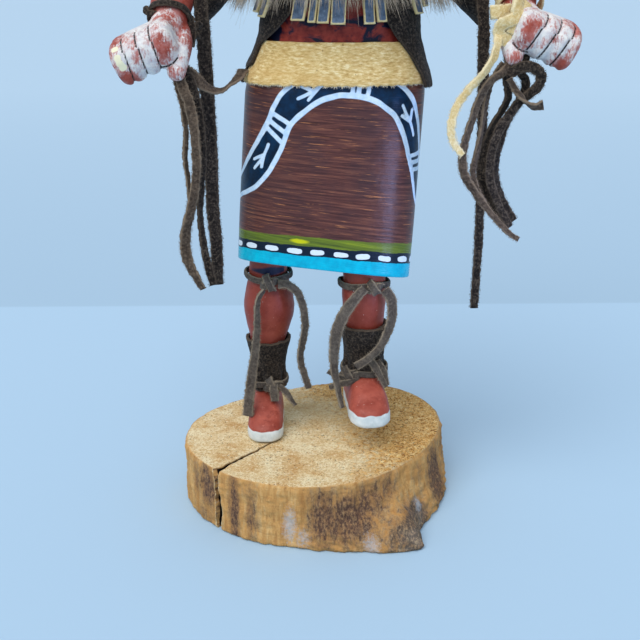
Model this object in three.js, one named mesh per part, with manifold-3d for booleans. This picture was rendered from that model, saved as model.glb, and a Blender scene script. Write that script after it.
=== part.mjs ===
// A dancer doll carved from cottonwood, standing on a slice of log and dressed in suede.
// Millimetres, +Z up, the figure faces -Y, so its own right hand is on the -X side.
// The origin is the middle of the log slice's underside.
import * as THREE from "three";
import { mergeVertices } from "three/addons/utils/BufferGeometryUtils.js";
import Module from "manifold-3d";

const wasm = await Module();
wasm.setup();

// ---------- driving dimensions ----------
const GAP = 0.4; // air between two pieces that touch
const LEATHER = 1.2; // thickness of the suede

const BASE_HEIGHT = 27;
const BASE_RADIUS = 50.8;
const BASE_LOBES = [
  { waves: 1, height: 2.1, turn: 20 },
  { waves: 2, height: 5.3, turn: 58 },
  { waves: 3, height: 2.1, turn: 140 },
]; // ripples added to the round outline, in mm and degrees
// The foot of the slice spreads where a root left the trunk: degrees round, and mm out at z = 0.
const ROOT = [
  [-98, 0],
  [-74, 5.5],
  [-58, 14.5],
  [-49, 18.5],
  [-42, 9.5],
  [-34, 7],
  [-4, 4.6],
  [24, 0],
];
const CRACK = { angle: -137, length: 26, mouth: 1.3, tip: 0.3 }; // the drying split

const HEM_Z = 97; // the kilt's hem, on the body's middle line
const HEM_X = 4.7; // the body's middle there
const BODY_Y = 8;
const LEAN = 0.0577; // the body leans to +X by this much for each millimetre up
const HEM_SLOPE_X = -0.116; // the hem falls towards +X
const HEM_SLOPE_Y = -0.22; // and rises towards the front
const HEM_LEVEL_Z = 150; // the kilt's sections are level from here up
const CHEST_X = 11; // the arms mirror about this plane

// The carved body from hem to neck: how far each section lies off the leaning line, its half
// width and half depth, and its squareness.
const BODY = [
  { z: HEM_Z, x: 0, w: 34.5, d: 22, n: 3 },
  { z: 118, x: 0, w: 34.6, d: 22.2, n: 2.9 },
  { z: HEM_LEVEL_Z, x: 0, w: 34.4, d: 21.8, n: 2.8 },
  { z: 168, x: 0.1, w: 34.2, d: 21.2, n: 2.7 },
  { z: 173, x: 0.2, w: 33.2, d: 20.3, n: 2.5 },
  { z: 180, x: 0.6, w: 30, d: 18.6, n: 2.4 },
  { z: 187, x: 0.6, w: 27.6, d: 17.4, n: 2.3 },
  { z: 200, x: 0.3, w: 26.4, d: 16.6, n: 2.3 },
  { z: 215, x: 0, w: 27.4, d: 17.4, n: 2.3 },
  { z: 226, x: 0, w: 27.6, d: 16.8, n: 2.3 },
  { z: 233, x: 0, w: 24.5, d: 15, n: 2.2 },
  { z: 238, x: 0, w: 18, d: 13, n: 2.1 },
  { z: 242, x: 0, w: 14, d: 12, n: 2 },
];
const HEAD_SHIFT_X = 13;
// The helmet mask, from its rim to its crown.
const HEAD = [
  { z: 239, w: 16, d: 15.5, n: 2 },
  { z: 240, w: 20.5, d: 19.5, n: 2.1 },
  { z: 246, w: 22, d: 21, n: 2.2 },
  { z: 264, w: 22.6, d: 21.6, n: 2.2 },
  { z: 276, w: 21.6, d: 20.8, n: 2.2 },
  { z: 284, w: 18.4, d: 17.8, n: 2.1 },
  { z: 289, w: 13.2, d: 12.8, n: 2 },
  { z: 291.5, w: 6, d: 6, n: 2 },
];
const SNOUT = { z: 256, radius: 4.4, length: 8 };
const EYES = { z: 266, apart: 17, width: 7, height: 2.4, depth: 1.2 };

// Legs and shins: middle and radius of each section, from under the kilt down to the ankle.
const RIGHT_LEG = [
  { x: -17, y: 9, z: 108, r: 7.6 },
  { x: -18, y: 9.6, z: 97, r: 7.7 },
  { x: -18, y: 10, z: 91, r: 8.5 },
  { x: -18, y: 10, z: 84, r: 10.1 },
  { x: -18, y: 10.4, z: 77, r: 10.4 },
  { x: -18.8, y: 10.5, z: 65, r: 7.4 },
  { x: -19, y: 10.5, z: 55, r: 5.5 },
  { x: -19, y: 10, z: 38, r: 5.2 },
];
const LEFT_LEG = [
  { x: 19, y: 3, z: 108, r: 8.4 },
  { x: 20.8, y: -1, z: 97, r: 8.5 },
  { x: 20.8, y: -1.6, z: 87, r: 8.8 },
  { x: 21.3, y: -1, z: 77, r: 7.8 },
  { x: 21.5, y: 0, z: 66, r: 6.3 },
  { x: 21.5, y: 0.5, z: 49, r: 5.9 },
];
// Moccasins: the sole, the ankle's place over it, and the way the toe turns out.
const RIGHT_FOOT = { x: -19.5, y: 10, z: BASE_HEIGHT + GAP, turn: 0, size: 1 };
const LEFT_FOOT = { x: 21.2, y: 0.5, z: 39.3, turn: 5, size: 1.06 };
const FOOT = [
  { y: -8.6, w: 3, h: 7 },
  { y: -7.4, w: 5.2, h: 12 },
  { y: -4, w: 6.4, h: 15 },
  { y: 2, w: 6.6, h: 15.5 },
  { y: 8, w: 6.7, h: 14 },
  { y: 13.5, w: 7, h: 11 },
  { y: 18, w: 6.6, h: 8.2 },
  { y: 20.8, w: 5.2, h: 6.6 },
  { y: 22.4, w: 3, h: 5 },
];

// One arm, measured outwards from the chest's middle plane: shoulder, elbow, wrist.
// The left hand is held higher and further out: raise is the share of LEFT_LIFT at each section.
const LEFT_LIFT = { x: 1.5, z: 5 };
const ARM = [
  { x: 20, y: 8, z: 227.4, r: 7, raise: 0 },
  { x: 33, y: 8.5, z: 224.6, r: 8.3, raise: 0 },
  { x: 46, y: 11, z: 217.6, r: 8, raise: 0 },
  { x: 54.5, y: 11.5, z: 210.5, r: 7.8, raise: 0.2 },
  { x: 59, y: 5, z: 205, r: 7.6, raise: 0.5 },
  { x: 61.4, y: -3, z: 199, r: 7.5, raise: 0.8 },
  { x: 61.4, y: -9, z: 193.5, r: 6.4, raise: 1 },
  { x: 63, y: -15, z: 189, r: 6.2, raise: 1 },
];
const FIST = { x: 67.6, y: -19.5, z: 184.4, tilt: 22, nod: 16 };
// The fist's outline seen from the thumb side: forwards, upwards.
const FIST_OUTLINE = [
  [-8, 5.6],
  [-2, 7.6],
  [4, 7.4],
  [8.2, 4.4],
  [9.4, -0.8],
  [8.2, -6],
  [4.8, -9.4],
  [0.4, -8.4],
  [-4, -5.6],
  [-8, -4.8],
];
// Across the knuckles from the little finger to the first: place, and size of the outline there.
const FIST_ACROSS = [
  [-11.8, 0.45],
  [-10.9, 0.8],
  [-8.6, 0.95],
  [-5.9, 0.87],
  [-3, 1],
  [-0.1, 0.93],
  [2.7, 1.03],
  [5.5, 0.95],
  [8.2, 0.98],
  [10, 0.82],
  [10.8, 0.5],
];
const THUMB = { from: [56.6, -12.5, 188], to: [57.4, -22.5, 177.2], radius: 3.3 };

// Leather worn round the body, as distances outside the carved surface.
const BELT = { bottom: 171, top: 186.5, inner: GAP, outer: 1.4 };
const VEST = { bottom: 169.5, top: 216, inner: 1.8, outer: 3 };
const TABS = { inner: 3.5, outer: 4.6, bottom: 211.5, top: 216, flare: 1.6 };
const RUFF = { inner: 6, rim: 206, top: 247 };

// ---------- shapes ----------
const SIDES = 24; // of every ring round the body
const UP = new THREE.Vector3(0, 0, 1);
const rad = THREE.MathUtils.degToRad;

// A closed skin over rings of points, which all have the same number of points. Each end is
// closed by a fan from the middle of its ring, so the ring may have hollows.
function skin(rings) {
  const sides = rings[0].length;
  const ends = [rings[0], rings.at(-1)].map((ring) =>
    ring.reduce((sum, p) => sum.add(p), new THREE.Vector3()).divideScalar(sides),
  );
  const position = [...rings.flat(), ...ends].flatMap((p) => [p.x, p.y, p.z]);
  const index = [];
  for (let i = 0; i + 1 < rings.length; i++)
    for (let j = 0; j < sides; j++) {
      const a = i * sides + j;
      const b = i * sides + ((j + 1) % sides);
      index.push(a, b, b + sides, a, b + sides, a + sides);
    }
  const last = (rings.length - 1) * sides;
  const middle = rings.length * sides;
  for (let j = 0; j < sides; j++) {
    const next = (j + 1) % sides;
    index.push(middle, next, j, middle + 1, last + j, last + next);
  }
  return new THREE.BufferGeometry()
    .setAttribute("position", new THREE.Float32BufferAttribute(position, 3))
    .setIndex(index);
}

// A geometry as a solid that manifold-3d can join and cut; a mirrored one is turned the right way out.
function solid(geometry) {
  const bare = geometry.clone();
  bare.deleteAttribute("normal");
  bare.deleteAttribute("uv");
  const merged = mergeVertices(bare, 1e-4);
  const make = (triVerts) =>
    new wasm.Manifold(
      new wasm.Mesh({ numProp: 3, vertProperties: merged.attributes.position.array, triVerts }),
    );
  const triangles = Uint32Array.from(merged.index.array);
  const made = make(triangles);
  return made.volume() > 0 ? made : make(triangles.reverse());
}

function join(...solids) {
  return solids.reduce((all, next) => all.add(next));
}

// A solid turned back into a geometry.
function geometryOf(made) {
  const mesh = made.getMesh();
  return new THREE.BufferGeometry()
    .setAttribute("position", new THREE.BufferAttribute(mesh.vertProperties, 3))
    .setIndex(new THREE.BufferAttribute(mesh.triVerts, 1));
}

// A rounded oblong of the given half sizes; n = 2 is an ellipse and a larger n is squarer.
function oblong(w, d, n, count = SIDES) {
  return Array.from({ length: count }, (_, i) => {
    const turn = ((i + 0.5) / count) * 2 * Math.PI;
    const c = Math.cos(turn);
    const s = Math.sin(turn);
    const reach = (Math.abs(c) ** n + Math.abs(s) ** n) ** (-1 / n);
    return { x: w * c * reach, y: d * s * reach };
  });
}

// The entry of a list of sections at height z, worked out between its neighbours.
function between(list, z) {
  const i = Math.max(1, list.findIndex((s) => s.z >= z));
  const [a, b] = [list[i - 1], list[i]];
  const t = (z - a.z) / (b.z - a.z);
  const blended = {};
  for (const key of Object.keys(a)) blended[key] = a[key] + (b[key] - a[key]) * t;
  return blended;
}

// The middle of the body at height z.
function middleX(z) {
  return HEM_X + (z - HEM_Z) * LEAN + between(BODY, Math.min(Math.max(z, HEM_Z), 242)).x;
}

// One section of the carved body, grown outwards by offset.
function bodyRing(z, offset) {
  const { w, d, n } = between(BODY, Math.min(Math.max(z, HEM_Z), 242));
  const cx = middleX(z);
  const slope = THREE.MathUtils.clamp((HEM_LEVEL_Z - z) / (HEM_LEVEL_Z - HEM_Z), 0, 1);
  return oblong(w + offset, d + offset, n).map(
    ({ x, y }) =>
      new THREE.Vector3(
        cx + x,
        BODY_Y + y,
        z + slope * (HEM_SLOPE_X * x + HEM_SLOPE_Y * y),
      ),
  );
}

function bodyLoft(levels, offset) {
  return solid(skin(levels.map((z) => bodyRing(z, offset))));
}

// A band round the body between two offsets, open above and below.
function bodyShell(levels, inner, outer) {
  const longer = [levels[0] - 1, ...levels.slice(1, -1), levels.at(-1) + 1];
  return bodyLoft(levels, outer).subtract(bodyLoft(longer, inner));
}

// A round limb through sections {x, y, z, r}, each square to the limb's line, grown by offset.
function limb(sections, offset, count = 10) {
  const at = (i) => new THREE.Vector3(sections[i].x, sections[i].y, sections[i].z);
  return sections.map((section, i) => {
    const along = at(Math.min(i + 1, sections.length - 1)).sub(at(Math.max(i - 1, 0))).normalize();
    const side = new THREE.Vector3(0, 1, 0).cross(along).normalize();
    const over = along.clone().cross(side);
    return Array.from({ length: count }, (_, j) => {
      const turn = (j / count) * 2 * Math.PI;
      return at(i)
        .addScaledVector(side, (section.r + offset) * Math.cos(turn))
        .addScaledVector(over, (section.r + offset) * Math.sin(turn));
    });
  });
}

// ---------- the slice of log ----------
function baseRadius(turn) {
  return BASE_LOBES.reduce(
    (r, lobe) => r + lobe.height * Math.cos(lobe.waves * turn - rad(lobe.turn)),
    BASE_RADIUS,
  );
}

// How far the foot of the slice spreads at this turn.
function rootReach(turn) {
  const degrees = THREE.MathUtils.radToDeg(turn > Math.PI ? turn - 2 * Math.PI : turn);
  const i = ROOT.findIndex(([at]) => at >= degrees);
  if (i < 1) return 0;
  const [[from, start], [to, end]] = [ROOT[i - 1], ROOT[i]];
  return start + ((end - start) * (degrees - from)) / (to - from);
}

function baseSolid() {
  const sides = 54;
  const levels = [0, 5, 12, 25.5, BASE_HEIGHT];
  const rings = levels.map((z) =>
    Array.from({ length: sides }, (_, i) => {
      const turn = (i / sides) * 2 * Math.PI;
      const worn = z === BASE_HEIGHT ? -0.8 : 0;
      const r = baseRadius(turn) + worn + rootReach(turn) * (1 - z / BASE_HEIGHT) ** 2;
      return new THREE.Vector3(r * Math.cos(turn), r * Math.sin(turn), z);
    }),
  );
  const rim = baseRadius(rad(CRACK.angle));
  const split = new THREE.Shape([
    new THREE.Vector2(rim - CRACK.length, -CRACK.tip / 2),
    new THREE.Vector2(rim + 3, -CRACK.mouth / 2),
    new THREE.Vector2(rim + 3, CRACK.mouth / 2),
    new THREE.Vector2(rim - CRACK.length, CRACK.tip / 2),
  ]);
  const wedge = new THREE.ExtrudeGeometry(split, { depth: BASE_HEIGHT + 2, bevelEnabled: false })
    .translate(0, 0, -1)
    .rotateZ(rad(CRACK.angle));
  return solid(skin(rings)).subtract(solid(wedge));
}

// ---------- the carved figure ----------
function footSolid(foot) {
  const arch = 9; // points over the top of each section
  const rings = FOOT.map(({ y, w, h }) => {
    const ring = [];
    for (let i = 0; i < arch; i++) {
      const turn = (i / (arch - 1)) * Math.PI;
      const c = Math.cos(turn);
      const s = Math.sin(turn);
      ring.push(
        new THREE.Vector3(
          w * Math.sign(c) * Math.abs(c) ** 0.7,
          -y,
          3 + (h - 3) * s ** 0.8,
        ),
      );
    }
    ring.push(new THREE.Vector3(-w, -y, 0), new THREE.Vector3(w, -y, 0));
    return ring;
  });
  const geometry = skin(rings)
    .scale(foot.size, foot.size, foot.size)
    .rotateZ(rad(foot.turn))
    .translate(foot.x, foot.y, foot.z);
  return solid(geometry);
}

function headRing({ z, w, d, n }, offset = 0) {
  return oblong(w + offset, d + offset, n, 18).map(
    ({ x, y }) => new THREE.Vector3(HEAD_SHIFT_X + x, BODY_Y + y, z),
  );
}

function headSolid() {
  const face = BODY_Y - 21.5;
  const snout = new THREE.CylinderGeometry(SNOUT.radius, SNOUT.radius * 0.9, SNOUT.length + 4, 12)
    .translate(HEAD_SHIFT_X, face - SNOUT.length / 2 + 2, SNOUT.z);
  const eyes = [-1, 1].map((side) =>
    solid(
      new THREE.BoxGeometry(EYES.width, 12, EYES.height).translate(
        HEAD_SHIFT_X + (side * EYES.apart) / 2,
        face + EYES.depth + 1 - 6,
        EYES.z,
      ),
    ),
  );
  return join(solid(skin(HEAD.map((s) => headRing(s)))), solid(snout)).subtract(join(...eyes));
}

function figureSolid() {
  const trunk = bodyLoft(BODY.map((s) => s.z), 0);
  const legs = [RIGHT_LEG, LEFT_LEG].map((leg) => solid(skin(limb(leg, 0, 12))));
  return join(trunk, headSolid(), ...legs, footSolid(RIGHT_FOOT), footSolid(LEFT_FOOT));
}

// ---------- arms ----------
// Puts a shape that is measured outwards from the chest on the figure's right (-1) or left (1).
function toSide(geometry, side) {
  return geometry.scale(side, 1, 1).translate(CHEST_X, 0, 0);
}

// The hand's shapes go with the wrist, which is lifted on the left.
function toHand(geometry, side) {
  if (side > 0) geometry.translate(LEFT_LIFT.x, 0, LEFT_LIFT.z);
  return toSide(geometry, side);
}

function fistGeometry() {
  const across = new THREE.Vector3(-Math.cos(rad(FIST.tilt)), 0, Math.sin(rad(FIST.tilt)));
  const ahead = new THREE.Vector3(0, -Math.cos(rad(FIST.nod)), -Math.sin(rad(FIST.nod)));
  const over = ahead.clone().cross(across).normalize();
  const middle = new THREE.Vector3(FIST.x, FIST.y, FIST.z);
  const rings = FIST_ACROSS.map(([x, size]) =>
    FIST_OUTLINE.map(([y, z]) => {
      const fingers = y > -7 ? size : (1 + size) / 2;
      return middle
        .clone()
        .addScaledVector(across, x)
        .addScaledVector(ahead, y * fingers)
        .addScaledVector(over, -z * fingers);
    }),
  );
  return skin(rings);
}

function capsule(from, to, radius) {
  const [a, b] = [new THREE.Vector3(...from), new THREE.Vector3(...to)];
  const way = b.clone().sub(a);
  const turn = new THREE.Quaternion().setFromUnitVectors(
    new THREE.Vector3(0, 1, 0),
    way.clone().normalize(),
  );
  const middle = a.lerp(b, 0.5);
  return new THREE.CapsuleGeometry(radius, way.length(), 3, 8)
    .applyQuaternion(turn)
    .translate(middle.x, middle.y, middle.z);
}

function armSolid(side, offset = 0) {
  const lift = side > 0 ? LEFT_LIFT : { x: 0, z: 0 };
  const sections = ARM.map(({ x, y, z, r, raise }) => ({
    x: x + lift.x * raise,
    y,
    z: z + lift.z * raise,
    r,
  }));
  const arm = solid(toSide(skin(limb(sections, offset)), side));
  if (offset) return arm;
  const hand = join(
    solid(toHand(fistGeometry(), side)),
    solid(toHand(capsule(THUMB.from, THUMB.to, THUMB.radius), side)),
  );
  return join(arm, hand).subtract(bodyLoft([190, 200, 215, 226, 233, 238, 242], GAP));
}

// ---------- suede, fur and feathers ----------
// The vest's front edges leave the chest bare and narrow to a tail on each hip.
const VEST_LEFT_EDGE = [
  [14.8, 205], [16.8, 194], [20.8, 188], [26, 182], [31, 174], [33.6, 166],
];
const VEST_RIGHT_EDGE = [
  [14.8, 205], [17.4, 195.5], [22, 190.4], [28.6, 185], [31.6, 178], [40, 172.4], [40, 166],
];

// A block standing in front of the body with the outline of the vest's opening.
function vestOpening() {
  const left = VEST_LEFT_EDGE.map(([x, z]) => new THREE.Vector2(x, z));
  const right = VEST_RIGHT_EDGE.map(([x, z]) => new THREE.Vector2(-x, z)).reverse();
  const top = [new THREE.Vector2(-13.6, 220), new THREE.Vector2(13.6, 220)];
  const geometry = new THREE.ExtrudeGeometry(new THREE.Shape([...top, ...left, ...right]), {
    depth: 60,
    bevelEnabled: false,
  });
  geometry.rotateX(Math.PI / 2).translate(CHEST_X - 1.3, BODY_Y - 1, 0);
  return solid(geometry);
}

function vestSolid() {
  const levels = [VEST.bottom, 173, 180, 187, 200, VEST.top];
  return bodyShell(levels, VEST.inner, VEST.outer).subtract(vestOpening());
}

// A wide sleeve over the upper arm, hanging slack under it: middle, half width and half height
// of its upright sections, measured outwards from the chest.
const SLEEVE = [
  { x: 36, y: 9, z: 220.5, w: 10.7, h: 14 },
  { x: 44, y: 10.5, z: 214.2, w: 11, h: 15.2 },
  { x: 52, y: 11.4, z: 208.5, w: 11.6, h: 16 },
];

function sleeveRings(grow, reach) {
  return SLEEVE.map(({ x, y, z, w, h }, i) =>
    oblong(w + grow, h + grow, 2.3, 16).map(
      (p) => new THREE.Vector3(x + (i - 1) * reach, y + p.x, z + p.y),
    ),
  );
}

function sleeveSolid(side, grow = 0) {
  const outer = solid(toSide(skin(sleeveRings(grow, grow)), side));
  return grow ? outer : outer.subtract(solid(toSide(skin(sleeveRings(-LEATHER, 1)), side)));
}

// Tabs of stiff leather hang from a strap over the chest and fan out at its sides:
// turn round the neck from straight ahead, lean, width, and height of the lower end.
const TAB_PLACES = [
  { turn: -62, lean: -9, width: 4.4, end: 196 },
  { turn: -51, lean: -8, width: 4, end: 194.5 },
  { turn: -25.5, lean: -2, width: 5.2, end: 193.6 },
  { turn: -17.5, lean: -1, width: 2.8, end: 193 },
  { turn: -10.5, lean: -1, width: 4.2, end: 192.8 },
  { turn: -2, lean: 0, width: 5.2, end: 192.4 },
  { turn: 16.5, lean: 1, width: 4, end: 192.5 },
  { turn: 23.5, lean: 2, width: 3.6, end: 193.2 },
  { turn: 49, lean: 8, width: 4.6, end: 195.6 },
  { turn: 61, lean: 9, width: 4.2, end: 198 },
];

// The point of the body's surface at this height and turn from straight ahead, offset outwards.
function onBody(z, turn, offset) {
  const { w, d, n } = between(BODY, Math.min(z, 242));
  const c = Math.sin(rad(turn));
  const s = -Math.cos(rad(turn));
  const reach = (Math.abs(c) ** n + Math.abs(s) ** n) ** (-1 / n);
  return new THREE.Vector3(middleX(z) + (w + offset) * c * reach, BODY_Y + (d + offset) * s * reach, z);
}

function tabSolid({ turn, lean, width, end }) {
  const rings = [TABS.top, 204, end].map((z) => {
    const here = turn + (lean * (TABS.top - z)) / (TABS.top - end);
    const flare = z === end ? TABS.flare : 0;
    const outer = onBody(z, here, TABS.outer + flare);
    const out = outer.clone().sub(onBody(z, here, 0)).normalize();
    const side = out.clone().cross(UP);
    const half = width / 2;
    const thick = TABS.outer - TABS.inner;
    return [
      [-half, 0],
      [half, 0],
      [half, -thick],
      [-half, -thick],
    ].map(([along, depth]) =>
      outer.clone().addScaledVector(side, along).addScaledVector(out, depth),
    );
  });
  return solid(skin(rings));
}

function tabCollarSolid() {
  const front = new THREE.BoxGeometry(80, 60, 20).translate(CHEST_X, BODY_Y - 32, TABS.top);
  const strap = bodyShell([TABS.bottom, TABS.top], TABS.inner, TABS.outer + 0.3);
  return join(strap.intersect(solid(front)), ...TAB_PLACES.map(tabSolid));
}

// A broad collar of fur lies over the shoulders, its underside shaped by what it lies on.
function ruffSolid() {
  const rows = [
    { z: RUFF.rim, grow: 10 },
    { z: 211, grow: 13.5 },
    { z: 222, grow: 15 },
    { z: 234, grow: 14 },
    { z: 243, grow: 14.5 },
    { z: RUFF.top, grow: 11.5 },
  ];
  const rings = rows.map(({ z, grow }) => {
    const middle = middleX(z);
    const { w, d } = between(BODY, Math.min(z, 242));
    return oblong(Math.min(w + grow, 40), Math.min(d + grow, 32), 2.2, 20).map(
      ({ x, y }) => new THREE.Vector3(middle + x, BODY_Y + y, z),
    );
  });
  const mould = join(
    bodyLoft([200, 215, 226, 242], RUFF.inner),
    solid(skin(HEAD.slice(0, 4).map((s) => headRing(s, GAP)))),
    ...[-1, 1].flatMap((side) => [armSolid(side, GAP), sleeveSolid(side, GAP)]),
  );
  return solid(skin(rings)).subtract(mould);
}

// A leaf of feather standing on the crown.
function featherSolid({ x, lean, height }) {
  const outline = new THREE.Shape()
    .moveTo(-0.9, 0)
    .lineTo(0.9, 0)
    .quadraticCurveTo(4.2, height * 0.55, 1.2, height)
    .lineTo(-1.2, height)
    .quadraticCurveTo(-4.2, height * 0.55, -0.9, 0);
  const geometry = new THREE.ExtrudeGeometry(outline, {
    depth: 1,
    bevelEnabled: false,
    curveSegments: 3,
  })
    .rotateX(Math.PI / 2)
    .rotateY(rad(lean))
    .translate(HEAD_SHIFT_X + x, BODY_Y + 4, 293);
  return solid(geometry);
}

function crestSolid() {
  const feathers = [
    { x: -3.2, lean: -26, height: 24 },
    { x: 0, lean: 0, height: 27 },
    { x: 3.2, lean: 26, height: 24 },
  ].map(featherSolid);
  const knot = new THREE.CylinderGeometry(4.6, 5.2, 3, 12)
    .rotateX(Math.PI / 2)
    .translate(HEAD_SHIFT_X, BODY_Y + 3.4, 293.5);
  return join(solid(knot), ...feathers);
}

// A cuff of suede round a shin: height, middle and outer radius of each row.
const RIGHT_CUFF = {
  x: -18.9,
  foot: RIGHT_FOOT,
  rows: [[43, 10.3, 7.1], [48, 10.3, 6.9], [56, 10.5, 7.2], [65.5, 10.4, 9.3]],
};
const LEFT_CUFF = {
  x: 21.5,
  foot: LEFT_FOOT,
  rows: [[52.5, 0.2, 8.3], [58, 0.2, 8.2], [66, -0.1, 8.4], [76, -1.2, 9.8]],
};

function cuffSolid({ x, rows, foot }) {
  const ring = (z, y, r) =>
    oblong(r, r, 2, 14).map((p) => new THREE.Vector3(x + p.x, y + p.y, z));
  const outer = rows.map(([z, y, r]) => ring(z, y, r));
  const inner = rows.map(([z, y, r]) => ring(z, y, r - LEATHER));
  const [low, high] = [rows[0], rows.at(-1)];
  inner.unshift(ring(low[0] - 1, low[1], low[2] - LEATHER));
  inner.push(ring(high[0] + 1, high[1], high[2] - LEATHER));
  const clear = { ...foot, size: foot.size * 1.06, z: foot.z - 0.4 };
  return solid(skin(outer)).subtract(solid(skin(inner))).subtract(footSolid(clear));
}

// A lace wound once round a limb as a flat ring, with its knot: the ring's middle, the line
// it goes round, and its inner radius; the knot's middle and half sizes. A knot that hangs
// away from its ring has a length of lace between them.
const SHIN = [0, 0, 1];
const TIES = {
  right_knee_tie: {
    at: [-18, 9.9, 93.8],
    axis: [0, -0.07, 1],
    radius: 8.8,
    knot: [-17.2, -0.3, 92.4],
    size: [3, 1.8, 3],
  },
  left_knee_tie: {
    at: [20.8, -1.2, 93.2],
    axis: [0, 0.1, 1],
    radius: 9.4,
    knot: [24.2, -11.2, 94],
    size: [3, 1.9, 2.2],
  },
  right_ankle_tie: {
    at: [-18.9, 10.3, 46.4],
    axis: SHIN,
    radius: 7.5,
    knot: [-16.6, 1.5, 46.6],
    size: [3.2, 2, 2.6],
  },
  left_ankle_tie: {
    at: [21.5, 0.2, 56],
    axis: SHIN,
    radius: 8.7,
    knot: [14.6, -7.9, 56],
    size: [3, 2, 2.4],
  },
  right_wrist_tie: {
    at: [-50.5, -8.2, 194.2],
    axis: [-1, -7.2, -6.4],
    radius: 7,
    knot: [-42, -7.4, 190.9],
    size: [2.2, 2.2, 3.4],
  },
  left_wrist_knot: {
    at: [74.1, -8.3, 199.4],
    axis: [1, -7.2, -6.4],
    radius: 7.4,
    knot: [65.2, -20.6, 196.6],
    size: [4.4, 4, 5],
    bridge: { from: [66.4, -9.6, 200.4], to: [65, -18, 198.4], radius: 1.2 },
  },
};

function tieSolid({ at, axis, radius, knot, size, bridge }) {
  const high = 1.3;
  const section = [
    [radius, -high],
    [radius + LEATHER, -high],
    [radius + LEATHER, high],
    [radius, high],
    [radius, -high],
  ].map(([r, h]) => new THREE.Vector2(r, h));
  const turn = new THREE.Quaternion().setFromUnitVectors(
    new THREE.Vector3(0, 1, 0),
    new THREE.Vector3(...axis).normalize(),
  );
  const ring = new THREE.LatheGeometry(section, 14).applyQuaternion(turn).translate(...at);
  const lump = new THREE.SphereGeometry(1, 6, 4).scale(...size).translate(...knot);
  const pieces = [solid(ring), solid(lump)];
  if (bridge) pieces.push(solid(capsule(bridge.from, bridge.to, bridge.radius)));
  return join(...pieces);
}

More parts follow.
